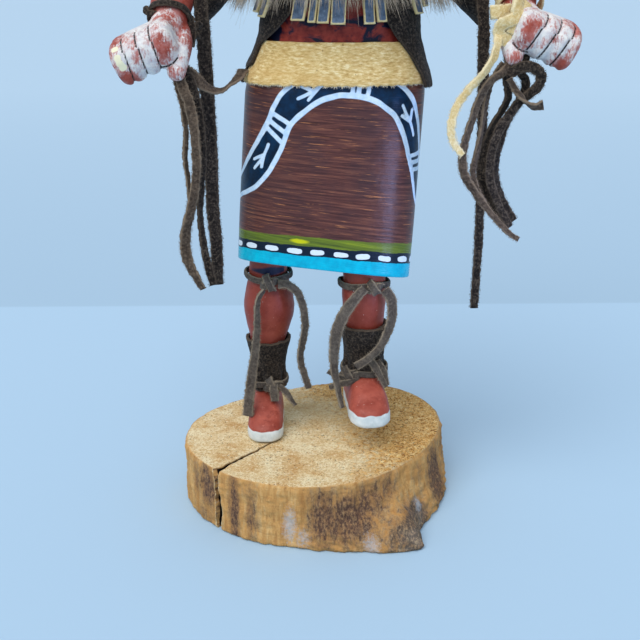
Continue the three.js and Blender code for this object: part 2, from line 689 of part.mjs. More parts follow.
// ---------- laces that hang free ----------
// Each is a suede lace along points chosen by hand, in millimetres.
const LACE = 2.2; // thickness of a lace's plain round stand-in
const LACES = {
  right_arm_lace: [
    [-39.8, -1.4, 203], [-39.8, -3, 196], [-39.2, -3.2, 188], [-39, -3.2, 178], [-38.8, -3.2, 168],
    [-38.4, -3.2, 157], [-38.2, -3.2, 145], [-38.3, -3.2, 133], [-38.3, -3.2, 121.3],
    [-37.6, -3.2, 112], [-37.4, -3.2, 102], [-37.4, -3.2, 92.8],
  ],
  right_hand_lace_front: [
    [-45, -24, 172.4], [-42.6, -25, 166], [-41.2, -25.2, 157], [-40.9, -25.2, 146.4],
    [-41.7, -25, 138], [-44.2, -25, 127], [-46.3, -25, 118.2], [-46.1, -25, 109.8],
    [-43.6, -25, 103.6], [-40.6, -25, 98],
  ],
  right_hand_lace_back: [
    [-42.4, -19.6, 172.4], [-40.6, -19.8, 162], [-39.8, -20, 149.2], [-40.4, -20, 137],
    [-41, -20, 125.2], [-40.4, -20, 114.1], [-39.1, -20, 105.9], [-37.3, -20, 98],
  ],
  right_hand_lace_outer: [
    [-47, -21.4, 172], [-45.2, -22.2, 164.6], [-44.6, -22.4, 155], [-45.4, -22.4, 146.7],
    [-44.8, -22.4, 138.3], [-44.6, -22.2, 131.3],
  ],
  hip_lace: [
    [-42.4, -17, 176], [-39.6, -16, 173.4], [-36, -13.4, 170.6], [-32.6, -9.8, 169.4],
    [-29.6, -6, 170.4], [-27.2, -3.4, 172.4],
  ],
  left_arm_lace: [
    [61.6, -1.4, 203], [62.2, -3.2, 196], [62.8, -3.6, 188], [63.2, -3.8, 178], [63.8, -3.8, 165],
    [64.3, -3.8, 150], [64.8, -3.8, 136], [65.1, -3.8, 122], [65.2, -3.8, 108], [65.1, -3.8, 95],
    [65, -3.8, 83.1],
  ],
  left_hand_lace_loop: [
    [69.4, -25.8, 177.4], [73.6, -26.4, 179.2], [78, -26, 178.2], [80, -25.6, 175],
    [78.4, -25.4, 171.4], [74.4, -25.2, 168], [70.6, -25, 163.6], [67.4, -24.8, 158.6],
    [65.2, -24.8, 152.6], [64.1, -24.8, 146], [64.4, -24.8, 139.6], [66.8, -24.8, 133],
    [70, -24.8, 126.6], [73, -24.8, 122],
  ],
  left_hand_lace_inner: [
    [68.4, -22, 176.6], [69.4, -22, 172], [69.6, -22, 167.6], [67.6, -22, 163.2], [65, -22, 158.4],
    [62.9, -22, 152], [61.7, -22, 146], [62, -22, 139.4], [64.4, -22, 132.6], [67.6, -22, 126.4],
    [70.8, -22, 121.6],
  ],
  left_hand_lace_outer: [
    [73.4, -22.4, 177], [75.4, -22, 173.6], [74.6, -22, 169.2], [72.2, -22, 164.6],
    [69.6, -22, 159.6], [67.7, -22, 153.6], [66.6, -22, 147], [67, -22, 140], [69, -22, 133.4],
    [72, -22, 127.4], [74.6, -22, 123.6],
  ],
  left_hand_lace_front: [
    [66, -27, 177], [63.4, -28, 175.6], [60.4, -28.4, 172.4], [57.9, -28.4, 167.2],
    [56, -28.4, 160.5], [54.5, -28.4, 155.2], [53.7, -28.4, 149.4], [54, -28.4, 144],
    [56, -28.4, 139.4], [59.4, -28.4, 134.6], [63.6, -28.4, 129.4], [68, -28.4, 124.4],
    [72.4, -28.4, 120], [75.4, -28.4, 118],
  ],
  left_hand_lace_thin: [
    [63, -24.2, 174], [61.4, -24.4, 167.6], [60.8, -24.4, 161], [60.3, -24.4, 155],
    [59.2, -24.4, 148.4], [58.2, -24.4, 143.6], [58.8, -24.4, 139], [60.8, -24.4, 134.6],
    [63.4, -24.4, 130.4],
  ],
  pale_lace: [
    [65, -22.6, 190], [63.6, -26, 184.8], [61.4, -28.6, 180.2], [57.8, -30.4, 175.6],
    [53.4, -31, 170.8], [50.1, -31.2, 165.5], [48.8, -31.2, 159.3], [49.9, -31.2, 153.4],
    [53.2, -31.2, 149.3],
  ],
  right_knee_lace_outer: [
    [-19.4, -2.6, 90.4], [-21.2, -4.4, 88], [-22, -5, 83.4], [-22.2, -5.2, 74.3],
    [-23.2, -5.2, 64.8], [-24.6, -5.4, 55.1], [-26, -6, 44.9], [-26.8, -6.6, 36.6],
  ],
  right_knee_lace_inner: [
    [-13.4, -1.4, 92.2], [-9.8, -3, 92.6], [-6, -4, 90], [-3.8, -4.4, 84.6], [-2.8, -5, 76],
    [-4.2, -5, 68], [-4.9, -5, 62], [-3.6, -5, 55.8], [-1.5, -5, 48.4],
  ],
  left_knee_lace_inner: [
    [20.6, -13.4, 94.4], [16.8, -14.8, 90.6], [12.8, -15.2, 84.8], [9.8, -15, 77], [8.7, -15, 68.6],
    [9, -15.4, 60.4], [10.6, -16.6, 52.6], [12, -18, 45.6],
  ],
  left_knee_lace_outer: [
    [28.6, -11, 93.2], [31.2, -11, 89], [31.4, -11.4, 82], [30, -11.6, 75.6], [27, -12.2, 69.4],
    [22.4, -12.6, 64.6], [17.6, -12.6, 61.2],
  ],
};
// The short end that ties the left hand's laces together.
const BUNDLE_TIE = [
  [68.2, -29.4, 175.4], [71, -29.4, 171], [74.4, -29.4, 167.4], [77.6, -29.4, 166],
  [80.4, -29.2, 166.6],
];

function laceGeometry(points) {
  const curve = new THREE.CatmullRomCurve3(points.map((p) => new THREE.Vector3(...p)));
  const section = new THREE.Shape().absarc(0, 0, LACE / 2, 0, 2 * Math.PI);
  return new THREE.ExtrudeGeometry(section, {
    steps: Math.round(curve.getLength() / (3 * LACE)),
    curveSegments: 4,
    bevelEnabled: false,
    extrudePath: curve,
  });
}

// ---------- the doll ----------
const MATERIALS = {
  log: new THREE.MeshStandardMaterial({ color: 0xc9a468, roughness: 0.85, metalness: 0 }),
  carved_wood: new THREE.MeshStandardMaterial({ color: 0x8a3b2c, roughness: 0.55, metalness: 0 }),
  brown_suede: new THREE.MeshStandardMaterial({ color: 0x3a302a, roughness: 0.95, metalness: 0 }),
  pale_suede: new THREE.MeshStandardMaterial({ color: 0xd9bd80, roughness: 0.9, metalness: 0 }),
  painted_leather: new THREE.MeshStandardMaterial({ color: 0x55677a, roughness: 0.6, metalness: 0 }),
  fur: new THREE.MeshStandardMaterial({ color: 0xb9a58c, roughness: 1, metalness: 0 }),
  feather: new THREE.MeshStandardMaterial({ color: 0x6b5a4a, roughness: 0.9, metalness: 0 }),
};

const doll = new THREE.Group();

function add(name, geometry, material) {
  const mesh = new THREE.Mesh(geometry, MATERIALS[material]);
  mesh.name = name;
  doll.add(mesh);
}

add("base", geometryOf(baseSolid()), "log");
add("figure", geometryOf(figureSolid()), "carved_wood");
add("right_arm", geometryOf(armSolid(-1)), "carved_wood");
add("left_arm", geometryOf(armSolid(1)), "carved_wood");
add(
  "belt",
  geometryOf(bodyShell([BELT.bottom, 173, 180, BELT.top], BELT.inner, BELT.outer)),
  "pale_suede",
);
add("vest", geometryOf(vestSolid()), "brown_suede");
add("right_sleeve", geometryOf(sleeveSolid(-1)), "brown_suede");
add("left_sleeve", geometryOf(sleeveSolid(1)), "brown_suede");
add("tab_collar", geometryOf(tabCollarSolid()), "painted_leather");
add("fur_ruff", geometryOf(ruffSolid()), "fur");
add("feather_crest", geometryOf(crestSolid()), "feather");
add("right_cuff", geometryOf(cuffSolid(RIGHT_CUFF)), "brown_suede");
add("left_cuff", geometryOf(cuffSolid(LEFT_CUFF)), "brown_suede");
for (const [name, tie] of Object.entries(TIES))
  add(name, geometryOf(tieSolid(tie)), name === "left_wrist_knot" ? "pale_suede" : "brown_suede");
for (const [name, points] of Object.entries(LACES))
  add(name, laceGeometry(points), name === "pale_lace" ? "pale_suede" : "brown_suede");
add("left_bundle_tie", laceGeometry(BUNDLE_TIE), "brown_suede");

export default doll;
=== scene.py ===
"""A carved dancer doll on a log slice: its looks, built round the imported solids.

Blender works in metres. The shapes here are worked out in millimetres, in the same frame as the
solids (+Z up, the figure faces -Y), and turned into metres where a mesh is made.
"""

import itertools
import math

import bpy
import numpy as np
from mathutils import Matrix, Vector


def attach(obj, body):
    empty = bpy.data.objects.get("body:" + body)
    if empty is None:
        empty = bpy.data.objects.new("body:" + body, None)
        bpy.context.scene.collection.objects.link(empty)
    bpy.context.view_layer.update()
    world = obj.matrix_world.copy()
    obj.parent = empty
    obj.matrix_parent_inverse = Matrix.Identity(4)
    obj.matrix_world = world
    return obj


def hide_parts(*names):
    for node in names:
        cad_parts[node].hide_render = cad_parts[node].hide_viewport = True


MM = 0.001
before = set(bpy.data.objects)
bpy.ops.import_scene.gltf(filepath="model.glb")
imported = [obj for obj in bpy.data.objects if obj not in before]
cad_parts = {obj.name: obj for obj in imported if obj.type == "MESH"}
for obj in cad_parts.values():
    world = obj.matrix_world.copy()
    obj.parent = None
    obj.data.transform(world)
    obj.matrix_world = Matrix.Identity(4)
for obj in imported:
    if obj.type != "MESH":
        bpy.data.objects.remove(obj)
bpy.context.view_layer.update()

LEATHER = 1.2  # thickness of the suede

# ---------- the camera and the light ----------


def link(obj):
    bpy.context.scene.collection.objects.link(obj)
    return obj


def camera():
    data = bpy.data.cameras.new("camera")
    data.sensor_width = 36.0
    data.lens = 53.44
    obj = link(bpy.data.objects.new("camera", data))
    obj.location = (0.0032, -0.364, 0.209)
    obj.rotation_euler = (math.radians(70), 0, 0)
    bpy.context.scene.camera = obj


def lamp(kind, at, target, strength, tint=(1, 1, 1)):
    data = bpy.data.lights.new(kind.lower(), kind)
    data.energy = strength
    data.color = tint
    obj = link(bpy.data.objects.new(kind.lower(), data))
    obj.location = at
    aim = Vector(target) - Vector(at)
    obj.rotation_euler = aim.to_track_quat("-Z", "Y").to_euler()
    obj.visible_camera = False
    return data


# ---------- points, noise and curves ----------


def noise(points, size, seed=0):
    """Smooth noise from -1 to 1 at each point; size is the distance between bumps."""
    q = np.asarray(points, float) / size + 1000 + 37.7 * seed
    cell = np.floor(q).astype(np.int64)
    f = q - cell
    f = f * f * (3 - 2 * f)
    total = np.zeros(q.shape[:-1])
    for corner in itertools.product((0, 1), repeat=3):
        n = cell + corner
        h = n[..., 0] * 73856093 ^ n[..., 1] * 19349663 ^ n[..., 2] * 83492791
        h = ((h ^ (h >> 13)) * 1274126177) & 0x7FFFFFFF
        weight = np.prod(np.where(corner, f, 1 - f), axis=-1)
        total += ((h >> 7) % 65536 / 32767.5 - 1) * weight
    return total


def rough(points, size, seed, octaves=3):
    """Noise with finer noise on it."""
    return sum(noise(points, size / 2**k, seed + k) / 2**k for k in range(octaves))


def smoothed(values, reach):
    """Values eased over reach neighbours on each side, with the ends kept."""
    kernel = np.hanning(2 * reach + 3)[1:-1]
    wide = np.concatenate([2 * values[0] - values[reach:0:-1], values,
                           2 * values[-1] - values[-2:-reach - 2:-1]])
    return np.convolve(wide, kernel / kernel.sum(), "valid")


def curve_through(points, per_span=12, closed=False):
    """A Catmull-Rom curve through the points."""
    p = np.asarray(points, float)
    if closed:
        p = np.concatenate([p[-1:], p, p[:2]])
    else:
        p = np.concatenate([[2 * p[0] - p[1]], p, [2 * p[-1] - p[-2]]])
    t = np.linspace(0, 1, per_span, endpoint=False)[:, None]
    spans = []
    for a, b, c, d in zip(p, p[1:], p[2:], p[3:]):
        spans.append(0.5 * (2 * b + (c - a) * t + (2 * a - 5 * b + 4 * c - d) * t**2
                            + (3 * b - a - 3 * c + d) * t**3))
    if not closed:
        spans.append(p[-2][None])
    return np.concatenate(spans)


def evenly(points, step):
    """The same line with points a step apart."""
    p = np.asarray(points, float)
    along = np.concatenate([[0], np.cumsum(np.linalg.norm(np.diff(p, axis=0), axis=1))])
    count = max(2, int(round(along[-1] / step)) + 1)
    at = np.linspace(0, along[-1], count)
    return np.stack([np.interp(at, along, p[:, k]) for k in range(p.shape[1])], axis=1)


def length_of(points):
    return float(np.linalg.norm(np.diff(np.asarray(points), axis=0), axis=1).sum())


def unit(v):
    return v / np.maximum(np.linalg.norm(v, axis=-1, keepdims=True), 1e-9)


def distance_to(points, line):
    """How far each point is from a line through a list of points."""
    best = np.full(len(points), 1e9)
    for start, step in zip(line[:-1], np.diff(line, axis=0)):
        t = np.clip(((points - start) @ step) / max(step @ step, 1e-9), 0, 1)
        best = np.minimum(best, np.linalg.norm(points - start - t[:, None] * step, axis=1))
    return best


def full_turn(count):
    """Angles once round, in radians, without the last."""
    return np.linspace(0, 2 * np.pi, count, endpoint=False)


def squared_off(c, s, n):
    """How far a unit direction reaches to an outline between a circle (n = 2) and a square."""
    return (np.abs(c) ** n + np.abs(s) ** n) ** (-1 / n)


def bulged(v, power):
    """A number from -1 to 1, pushed away from 0 by a power under 1."""
    return np.sign(v) * np.abs(v) ** power


def on_line(x, z=0.0):
    """Points on a line, for noise that runs along an edge."""
    return np.stack([x, x * 0, x * 0 + z], 1)


# ---------- meshes ----------


def quads(rows, columns, wrap):
    """Faces of a grid of points, row by row; wrap joins the last column to the first."""
    i = np.arange(rows - 1)[:, None] * columns
    j = np.arange(columns if wrap else columns - 1)[None, :]
    a, b = i + j, i + (j + 1) % columns
    return np.stack([a, b, b + columns, a + columns], axis=-1).reshape(-1, 4)


def tube(rings):
    """Points and faces of a closed skin over rings, each end closed by a fan."""
    rows, columns, _ = rings.shape
    ends = np.stack([rings[0].mean(0), rings[-1].mean(0)])
    points = np.concatenate([rings.reshape(-1, 3), ends])
    j = np.arange(columns)
    after = (j + 1) % columns
    middle, last = rows * columns, (rows - 1) * columns
    low = np.stack([np.full(columns, middle), after, j], axis=1)
    high = np.stack([np.full(columns, middle + 1), last + j, last + after], axis=1)
    return points, [*quads(rows, columns, True).tolist(), *low.tolist(), *high.tolist()]


def looped(rings):
    """Points and faces of a skin over rings, the last of which joins the first."""
    rows, columns, _ = rings.shape
    return rings.reshape(-1, 3), (quads(rows + 1, columns, True) % (rows * columns)).tolist()


def joined(parts):
    """Several (points, faces, values) as one; where a part has no values they are 0."""
    points, faces, values, count = [], [], [], 0
    for p, f, *v in parts:
        points.append(p)
        faces += [[i + count for i in face] for face in f]
        values.append(v[0] if v else np.zeros(len(p)))
        count += len(p)
    return np.concatenate(points), faces, np.concatenate(values)


def gathered(parts):
    """Several (points, faces) as one."""
    return joined([part[:2] for part in parts])[:2]


def grid_normals(grid, wrap=False):
    """The outward direction at each point of a grid whose rows go up and columns go round."""
    if wrap:
        across = np.roll(grid, -1, axis=1) - np.roll(grid, 1, axis=1)
    else:
        across = np.gradient(grid, axis=1)
    return unit(np.cross(across, np.gradient(grid, axis=0)))


def shell(grid, thickness, wrap=False):
    """A closed sheet of this thickness round a grid of points on its middle surface."""
    rows, columns, _ = grid.shape
    out = grid_normals(grid, wrap) * np.asarray(thickness)[..., None] / 2
    count = rows * columns
    points = np.concatenate([(grid + out).reshape(-1, 3), (grid - out).reshape(-1, 3)])
    outer = quads(rows, columns, wrap)
    faces = [outer, outer[:, ::-1] + count]
    j = np.arange(columns if wrap else columns - 1)
    k = (j + 1) % columns
    last = (rows - 1) * columns
    borders = [(j, k), (last + k, last + j)]
    if not wrap:
        i = np.arange(rows - 1) * columns
        borders += [(i + columns, i), (i + columns - 1, i + 2 * columns - 1)]
    for a, b in borders:
        faces.append(np.stack([a, a + count, b + count, b], axis=1))
    return points, np.concatenate(faces).tolist()


def rim(shape, wrap):
    """Values for a shell: 1 on the border of its grid and 0 inside it."""
    border = np.zeros(shape)
    border[[0, -1]] = 1
    if not wrap:
        border[:, [0, -1]] = 1
    return np.tile(border.ravel(), 2)


def mesh_of(name, points, faces):
    mesh = bpy.data.meshes.new(name)
    mesh.from_pydata((np.asarray(points) * MM).tolist(), [], [list(f) for f in faces])
    mesh.validate()
    return mesh


def with_modifiers(obj):
    """An object's mesh with its modifiers applied, and that mesh's points in millimetres."""
    evaluated = obj.evaluated_get(bpy.context.evaluated_depsgraph_get())
    mesh = bpy.data.meshes.new_from_object(evaluated)
    points = np.zeros(len(mesh.vertices) * 3)
    mesh.vertices.foreach_get("co", points)
    return mesh, points.reshape(-1, 3) / MM


def one_skin(points, faces, voxel, smoothing):
    """The union of closed shells as one even skin: points and faces."""
    obj = link(bpy.data.objects.new("skin", mesh_of("skin", points, faces)))
    remesh = obj.modifiers.new("remesh", "REMESH")
    remesh.mode = "VOXEL"
    remesh.voxel_size = voxel * MM
    smooth = obj.modifiers.new("smooth", "SMOOTH")
    smooth.factor = 0.5
    smooth.iterations = smoothing
    mesh, skin = with_modifiers(obj)
    bpy.data.objects.remove(obj)
    corners = np.zeros(len(mesh.loops), np.int64)
    mesh.loops.foreach_get("vertex_index", corners)
    return skin, corners.reshape(-1, 4).tolist()


def moved(points, faces, shift):
    """Points pushed along their own outward direction; shift(points, normals) says how far."""
    mesh = mesh_of("normals", points, faces)
    out = np.zeros(len(mesh.vertices) * 3, np.float32)
    mesh.vertex_normals.foreach_get("vector", out)
    bpy.data.meshes.remove(mesh)
    out = out.reshape(-1, 3).astype(float)
    return points + out * np.asarray(shift(points, out))[:, None]


def piece(name, points, faces, material, slot, nodes, **attributes):
    """A finished piece of the doll, riding on its one body in place of the solids of nodes."""
    mesh = mesh_of(name, points, faces)
    mesh.polygons.foreach_set("use_smooth", [True] * len(mesh.polygons))
    for key, values in attributes.items():
        layer = mesh.attributes.new(key, "FLOAT", "POINT")
        layer.data.foreach_set("value", np.asarray(values, np.float32))
    mesh.materials.append(material)
    obj = link(bpy.data.objects.new(name, mesh))
    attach(obj, "root")
    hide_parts(*nodes)
    return obj


# ---------- materials ----------


class Value:
    """A value worked out at each point of a material; arithmetic on it adds nodes."""

    def __init__(self, paint, socket):
        self.paint = paint
        self.socket = socket

    def __add__(self, other):
        return self.paint.math("ADD", self, other)

    def __sub__(self, other):
        return self.paint.math("SUBTRACT", self, other)

    def __rsub__(self, other):
        return self.paint.math("SUBTRACT", other, self)

    def __mul__(self, other):
        return self.paint.math("MULTIPLY", self, other)

    def __truediv__(self, other):
        return self.paint.math("DIVIDE", self, other)

    def __pow__(self, other):
        return self.paint.math("POWER", self, other)

    def __abs__(self):
        return self.paint.math("ABSOLUTE", self, 0)


class Paint:
    """A small writer of node materials. Inputs are Values, plain numbers or colours."""

    def __init__(self, name):
        self.material = bpy.data.materials.new(name)
        self.material.use_nodes = True
        self.tree = self.material.node_tree
        self.shader = self.tree.nodes["Principled BSDF"]
        self.where = self.made("ShaderNodeTexCoord", "Object")

    def put(self, socket, value):
        if isinstance(value, Value):
            self.tree.links.new(value.socket, socket)
        elif value is not None:
            socket.default_value = value

    def made(self, kind, output, inputs=None, **settings):
        """One output of a new node."""
        node = self.tree.nodes.new(kind)
        for key, value in settings.items():
            setattr(node, key, value)
        for key, value in (inputs or {}).items():
            self.put(node.inputs[key], value)
        return Value(self, node.outputs[output])

    def stretched(self, scale):
        """The place on the object, multiplied by scale along each axis."""
        return self.made("ShaderNodeMapping", 0, {"Vector": self.where, "Scale": scale})

    def axes(self):
        """The place on the object along X, Y and Z, in millimetres."""
        node = self.tree.nodes.new("ShaderNodeSeparateXYZ")
        self.put(node.inputs[0], self.where)
        return [Value(self, output) / MM for output in node.outputs]

    def noise(self, size, detail=3, roughness=0.6, vector=None, distortion=0.0):
        """Noise with bumps of about size millimetres."""
        inputs = {"Vector": vector or self.where, "Scale": 1 / (size * MM), "Detail": detail,
                  "Roughness": roughness, "Distortion": distortion}
        return self.made("ShaderNodeTexNoise", "Fac", inputs)

    def attribute(self, name):
        return self.made("ShaderNodeAttribute", "Fac", attribute_name=name)

    def math(self, operation, a, b):
        return self.made("ShaderNodeMath", 0, {0: a, 1: b}, operation=operation)

    def step(self, value, low, high):
        """0 below low, 1 above high, and even in between."""
        inputs = {"Value": value, "From Min": low, "From Max": high}
        return self.made("ShaderNodeMapRange", "Result", inputs)

    def mix(self, share, a, b):
        inputs = {0: share, 6: colour(a), 7: colour(b)}
        return self.made("ShaderNodeMix", 2, inputs, data_type="RGBA")

    def ramp(self, value, *stops):
        """Colours along a value, as (place, colour) pairs."""
        node = self.tree.nodes.new("ShaderNodeValToRGB")
        self.put(node.inputs[0], value)
        points = node.color_ramp.elements
        while len(points) < len(stops):
            points.new(0.5)
        for point, (place, shade) in zip(points, stops):
            point.position = place
            point.color = colour(shade)
        return Value(self, node.outputs[0])

    def bump(self, height, depth, after=None):
        """Bumps of about depth millimetres."""
        inputs = {"Height": height, "Distance": depth * MM, "Strength": 1.0, "Normal": after}
        return self.made("ShaderNodeBump", 0, inputs)

    def done(self, base, roughness, normal, **plain):
        self.put(self.shader.inputs["Base Color"], colour(base))
        self.put(self.shader.inputs["Roughness"], roughness)
        self.put(self.shader.inputs["Normal"], normal)
        for key, value in plain.items():
            self.shader.inputs[key.replace("_", " ")].default_value = value
        return self.material


def colour(value):
    """A colour from 0 to 255 as a screen shows it, as linear light; Values pass through."""
    if not isinstance(value, tuple):
        return value
    linear = [((c / 255 + 0.055) / 1.055) ** 2.4 if c > 10 else c / 3294.6 for c in value]
    return (*linear, 1.0)


def suede(name, dark, light, fleck, pit, edge, specks=0.9, nap=0.35):
    """Rough split leather: mottled and napped, with paler fibres, dark pits and pale cut edges."""
    p = Paint(name)
    clouds = p.noise(6, 3, 0.6)
    grain = p.noise(1.0, 4, 0.85)
    base = p.mix(p.step(clouds, 0.36, 0.66), dark, light)
    base = p.mix(p.step(grain, 0.52, 0.61) * specks, base, fleck)
    base = p.mix(p.step(grain, 0.48, 0.39) * specks, base, pit)
    base = p.mix(p.step(p.attribute("cut"), 0.3, 1.0) * 0.8, base, edge)
    normal = p.bump(grain, nap, p.bump(clouds, 0.6))
    return p.done(base, 0.95, normal, Sheen_Weight=0.08, Sheen_Roughness=0.5,
                  Specular_IOR_Level=0.12)


def painted_wood(name, base_of, roughness):
    """Satin paint over knife-carved wood; base_of(paint) makes its colour."""
    p = Paint(name)
    strokes = p.noise(1.6, 3, 0.6, p.stretched((1, 1, 0.35)))
    fine = p.noise(0.35, 2, 0.5)
    normal = p.bump(fine, 0.03, p.bump(strokes, 0.12))
    return p.done(base_of(p), p.noise(6) * 0.14 + roughness, normal, Specular_IOR_Level=0.3)


# ---------- the laces: routes as in the part's source, in millimetres ----------
ROUTES = {
    "right_arm_lace": [
        (-39.8, -1.4, 203), (-39.8, -3, 196), (-39.2, -3.2, 188), (-39, -3.2, 178),
        (-38.8, -3.2, 168), (-38.4, -3.2, 157), (-38.2, -3.2, 145), (-38.3, -3.2, 133),
        (-38.3, -3.2, 121.3), (-37.6, -3.2, 112), (-37.4, -3.2, 102), (-37.4, -3.2, 92.8),
    ],
    "right_hand_lace_front": [
        (-45, -24, 172.4), (-42.6, -25, 166), (-41.2, -25.2, 157), (-40.9, -25.2, 146.4),
        (-41.7, -25, 138), (-44.2, -25, 127), (-46.3, -25, 118.2), (-46.1, -25, 109.8),
        (-43.6, -25, 103.6), (-40.6, -25, 98),
    ],
    "right_hand_lace_back": [
        (-42.4, -19.6, 172.4), (-40.6, -19.8, 162), (-39.8, -20, 149.2), (-40.4, -20, 137),
        (-41, -20, 125.2), (-40.4, -20, 114.1), (-39.1, -20, 105.9), (-37.3, -20, 98),
    ],
    "right_hand_lace_outer": [
        (-47, -21.4, 172), (-45.2, -22.2, 164.6), (-44.6, -22.4, 155), (-45.4, -22.4, 146.7),
        (-44.8, -22.4, 138.3), (-44.6, -22.2, 131.3),
    ],
    "left_arm_lace": [
        (61.6, -1.4, 203), (62.2, -3.2, 196), (62.8, -3.6, 188), (63.2, -3.8, 178),
        (63.8, -3.8, 165), (64.3, -3.8, 150), (64.8, -3.8, 136), (65.1, -3.8, 122),
        (65.2, -3.8, 108), (65.1, -3.8, 95), (65, -3.8, 83.1),
    ],
    "left_hand_lace_loop": [
        (69.4, -25.8, 177.4), (73.6, -26.4, 179.2), (78, -26, 178.2), (80, -25.6, 175),
        (78.4, -25.4, 171.4), (74.4, -25.2, 168), (70.6, -25, 163.6), (67.4, -24.8, 158.6),
        (65.2, -24.8, 152.6), (64.1, -24.8, 146), (64.4, -24.8, 139.6), (66.8, -24.8, 133),
        (70, -24.8, 126.6), (73, -24.8, 122),
    ],
    "left_hand_lace_inner": [
        (68.4, -22, 176.6), (69.4, -22, 172), (69.6, -22, 167.6), (67.6, -22, 163.2),
        (65, -22, 158.4), (62.9, -22, 152), (61.7, -22, 146), (62, -22, 139.4),
        (64.4, -22, 132.6), (67.6, -22, 126.4), (70.8, -22, 121.6),
    ],
    "left_hand_lace_outer": [
        (73.4, -22.4, 177), (75.4, -22, 173.6), (74.6, -22, 169.2), (72.2, -22, 164.6),
        (69.6, -22, 159.6), (67.7, -22, 153.6), (66.6, -22, 147), (67, -22, 140),
        (69, -22, 133.4), (72, -22, 127.4), (74.6, -22, 123.6),
    ],
    "left_hand_lace_front": [
        (66, -27, 177), (63.4, -28, 175.6), (60.4, -28.4, 172.4), (57.9, -28.4, 167.2),
        (56, -28.4, 160.5), (54.5, -28.4, 155.2), (53.7, -28.4, 149.4), (54, -28.4, 144),
        (56, -28.4, 139.4), (59.4, -28.4, 134.6), (63.6, -28.4, 129.4), (68, -28.4, 124.4),
        (72.4, -28.4, 120), (75.4, -28.4, 118),
    ],
    "left_hand_lace_thin": [
        (63, -24.2, 174), (61.4, -24.4, 167.6), (60.8, -24.4, 161), (60.3, -24.4, 155),
        (59.2, -24.4, 148.4), (58.2, -24.4, 143.6), (58.8, -24.4, 139), (60.8, -24.4, 134.6),
        (63.4, -24.4, 130.4),
    ],
    "pale_lace": [
        (65, -22.6, 190), (63.6, -26, 184.8), (61.4, -28.6, 180.2), (57.8, -30.4, 175.6),
        (53.4, -31, 170.8), (50.1, -31.2, 165.5), (48.8, -31.2, 159.3), (49.9, -31.2, 153.4),
        (53.2, -31.2, 149.3),
    ],
    "right_knee_lace_outer": [
        (-19.4, -2.6, 90.4), (-21.2, -4.4, 88), (-22, -5, 83.4), (-22.2, -5.2, 74.3),
        (-23.2, -5.2, 64.8), (-24.6, -5.4, 55.1), (-26, -6, 44.9), (-26.8, -6.6, 36.6),
    ],
    "right_knee_lace_inner": [
        (-13.4, -1.4, 92.2), (-9.8, -3, 92.6), (-6, -4, 90), (-3.8, -4.4, 84.6), (-2.8, -5, 76),
        (-4.2, -5, 68), (-4.9, -5, 62), (-3.6, -5, 55.8), (-1.5, -5, 48.4),
    ],
    "left_knee_lace_inner": [
        (20.6, -13.4, 94.4), (16.8, -14.8, 90.6), (12.8, -15.2, 84.8), (9.8, -15, 77),
        (8.7, -15, 68.6), (9, -15.4, 60.4), (10.6, -16.6, 52.6), (12, -18, 45.6),
    ],
    "left_knee_lace_outer": [
        (28.6, -11, 93.2), (31.2, -11, 89), (31.4, -11.4, 82), (30, -11.6, 75.6),
        (27, -12.2, 69.4), (22.4, -12.6, 64.6), (17.6, -12.6, 61.2),
    ],
}
HIP_LACE = [
    (-46, -19.5, 178.4), (-42.4, -17, 175.4), (-39.6, -16, 172.6), (-36, -13.4, 169.8),
    (-32.6, -9.8, 169.2), (-29.4, -6, 171), (-26.8, -2.6, 173.4), (-25.6, 1.4, 175.4),
]
BUNDLE_TIE = [
    (68.2, -29.4, 175.4), (71, -29.4, 171), (74.4, -29.4, 167.4), (77.6, -29.4, 166),
    (80.4, -29.2, 166.6),
]


def bristles(roots, out, along, count, reach, seed):
    """Short fibres that stand off a cut edge, one thin triangle each."""
    local = np.random.default_rng(seed)
    pick = local.integers(0, len(roots), count)
    way = unit(out[pick] + local.normal(size=(count, 3)) * 0.45)
    half = unit(along[pick]) * 0.1
    base = roots[pick] - way * 0.25
    tip = roots[pick] + way * (reach * local.uniform(0.4, 1.4, count))[:, None]
    points = np.stack([base - half, base + half, tip], axis=1).reshape(-1, 3)
    return points, np.arange(count * 3).reshape(-1, 3).tolist()


FUZZ = 0.22  # how ragged a strip's skin is
HAIR = 0.7  # how long the fibres on its edges are


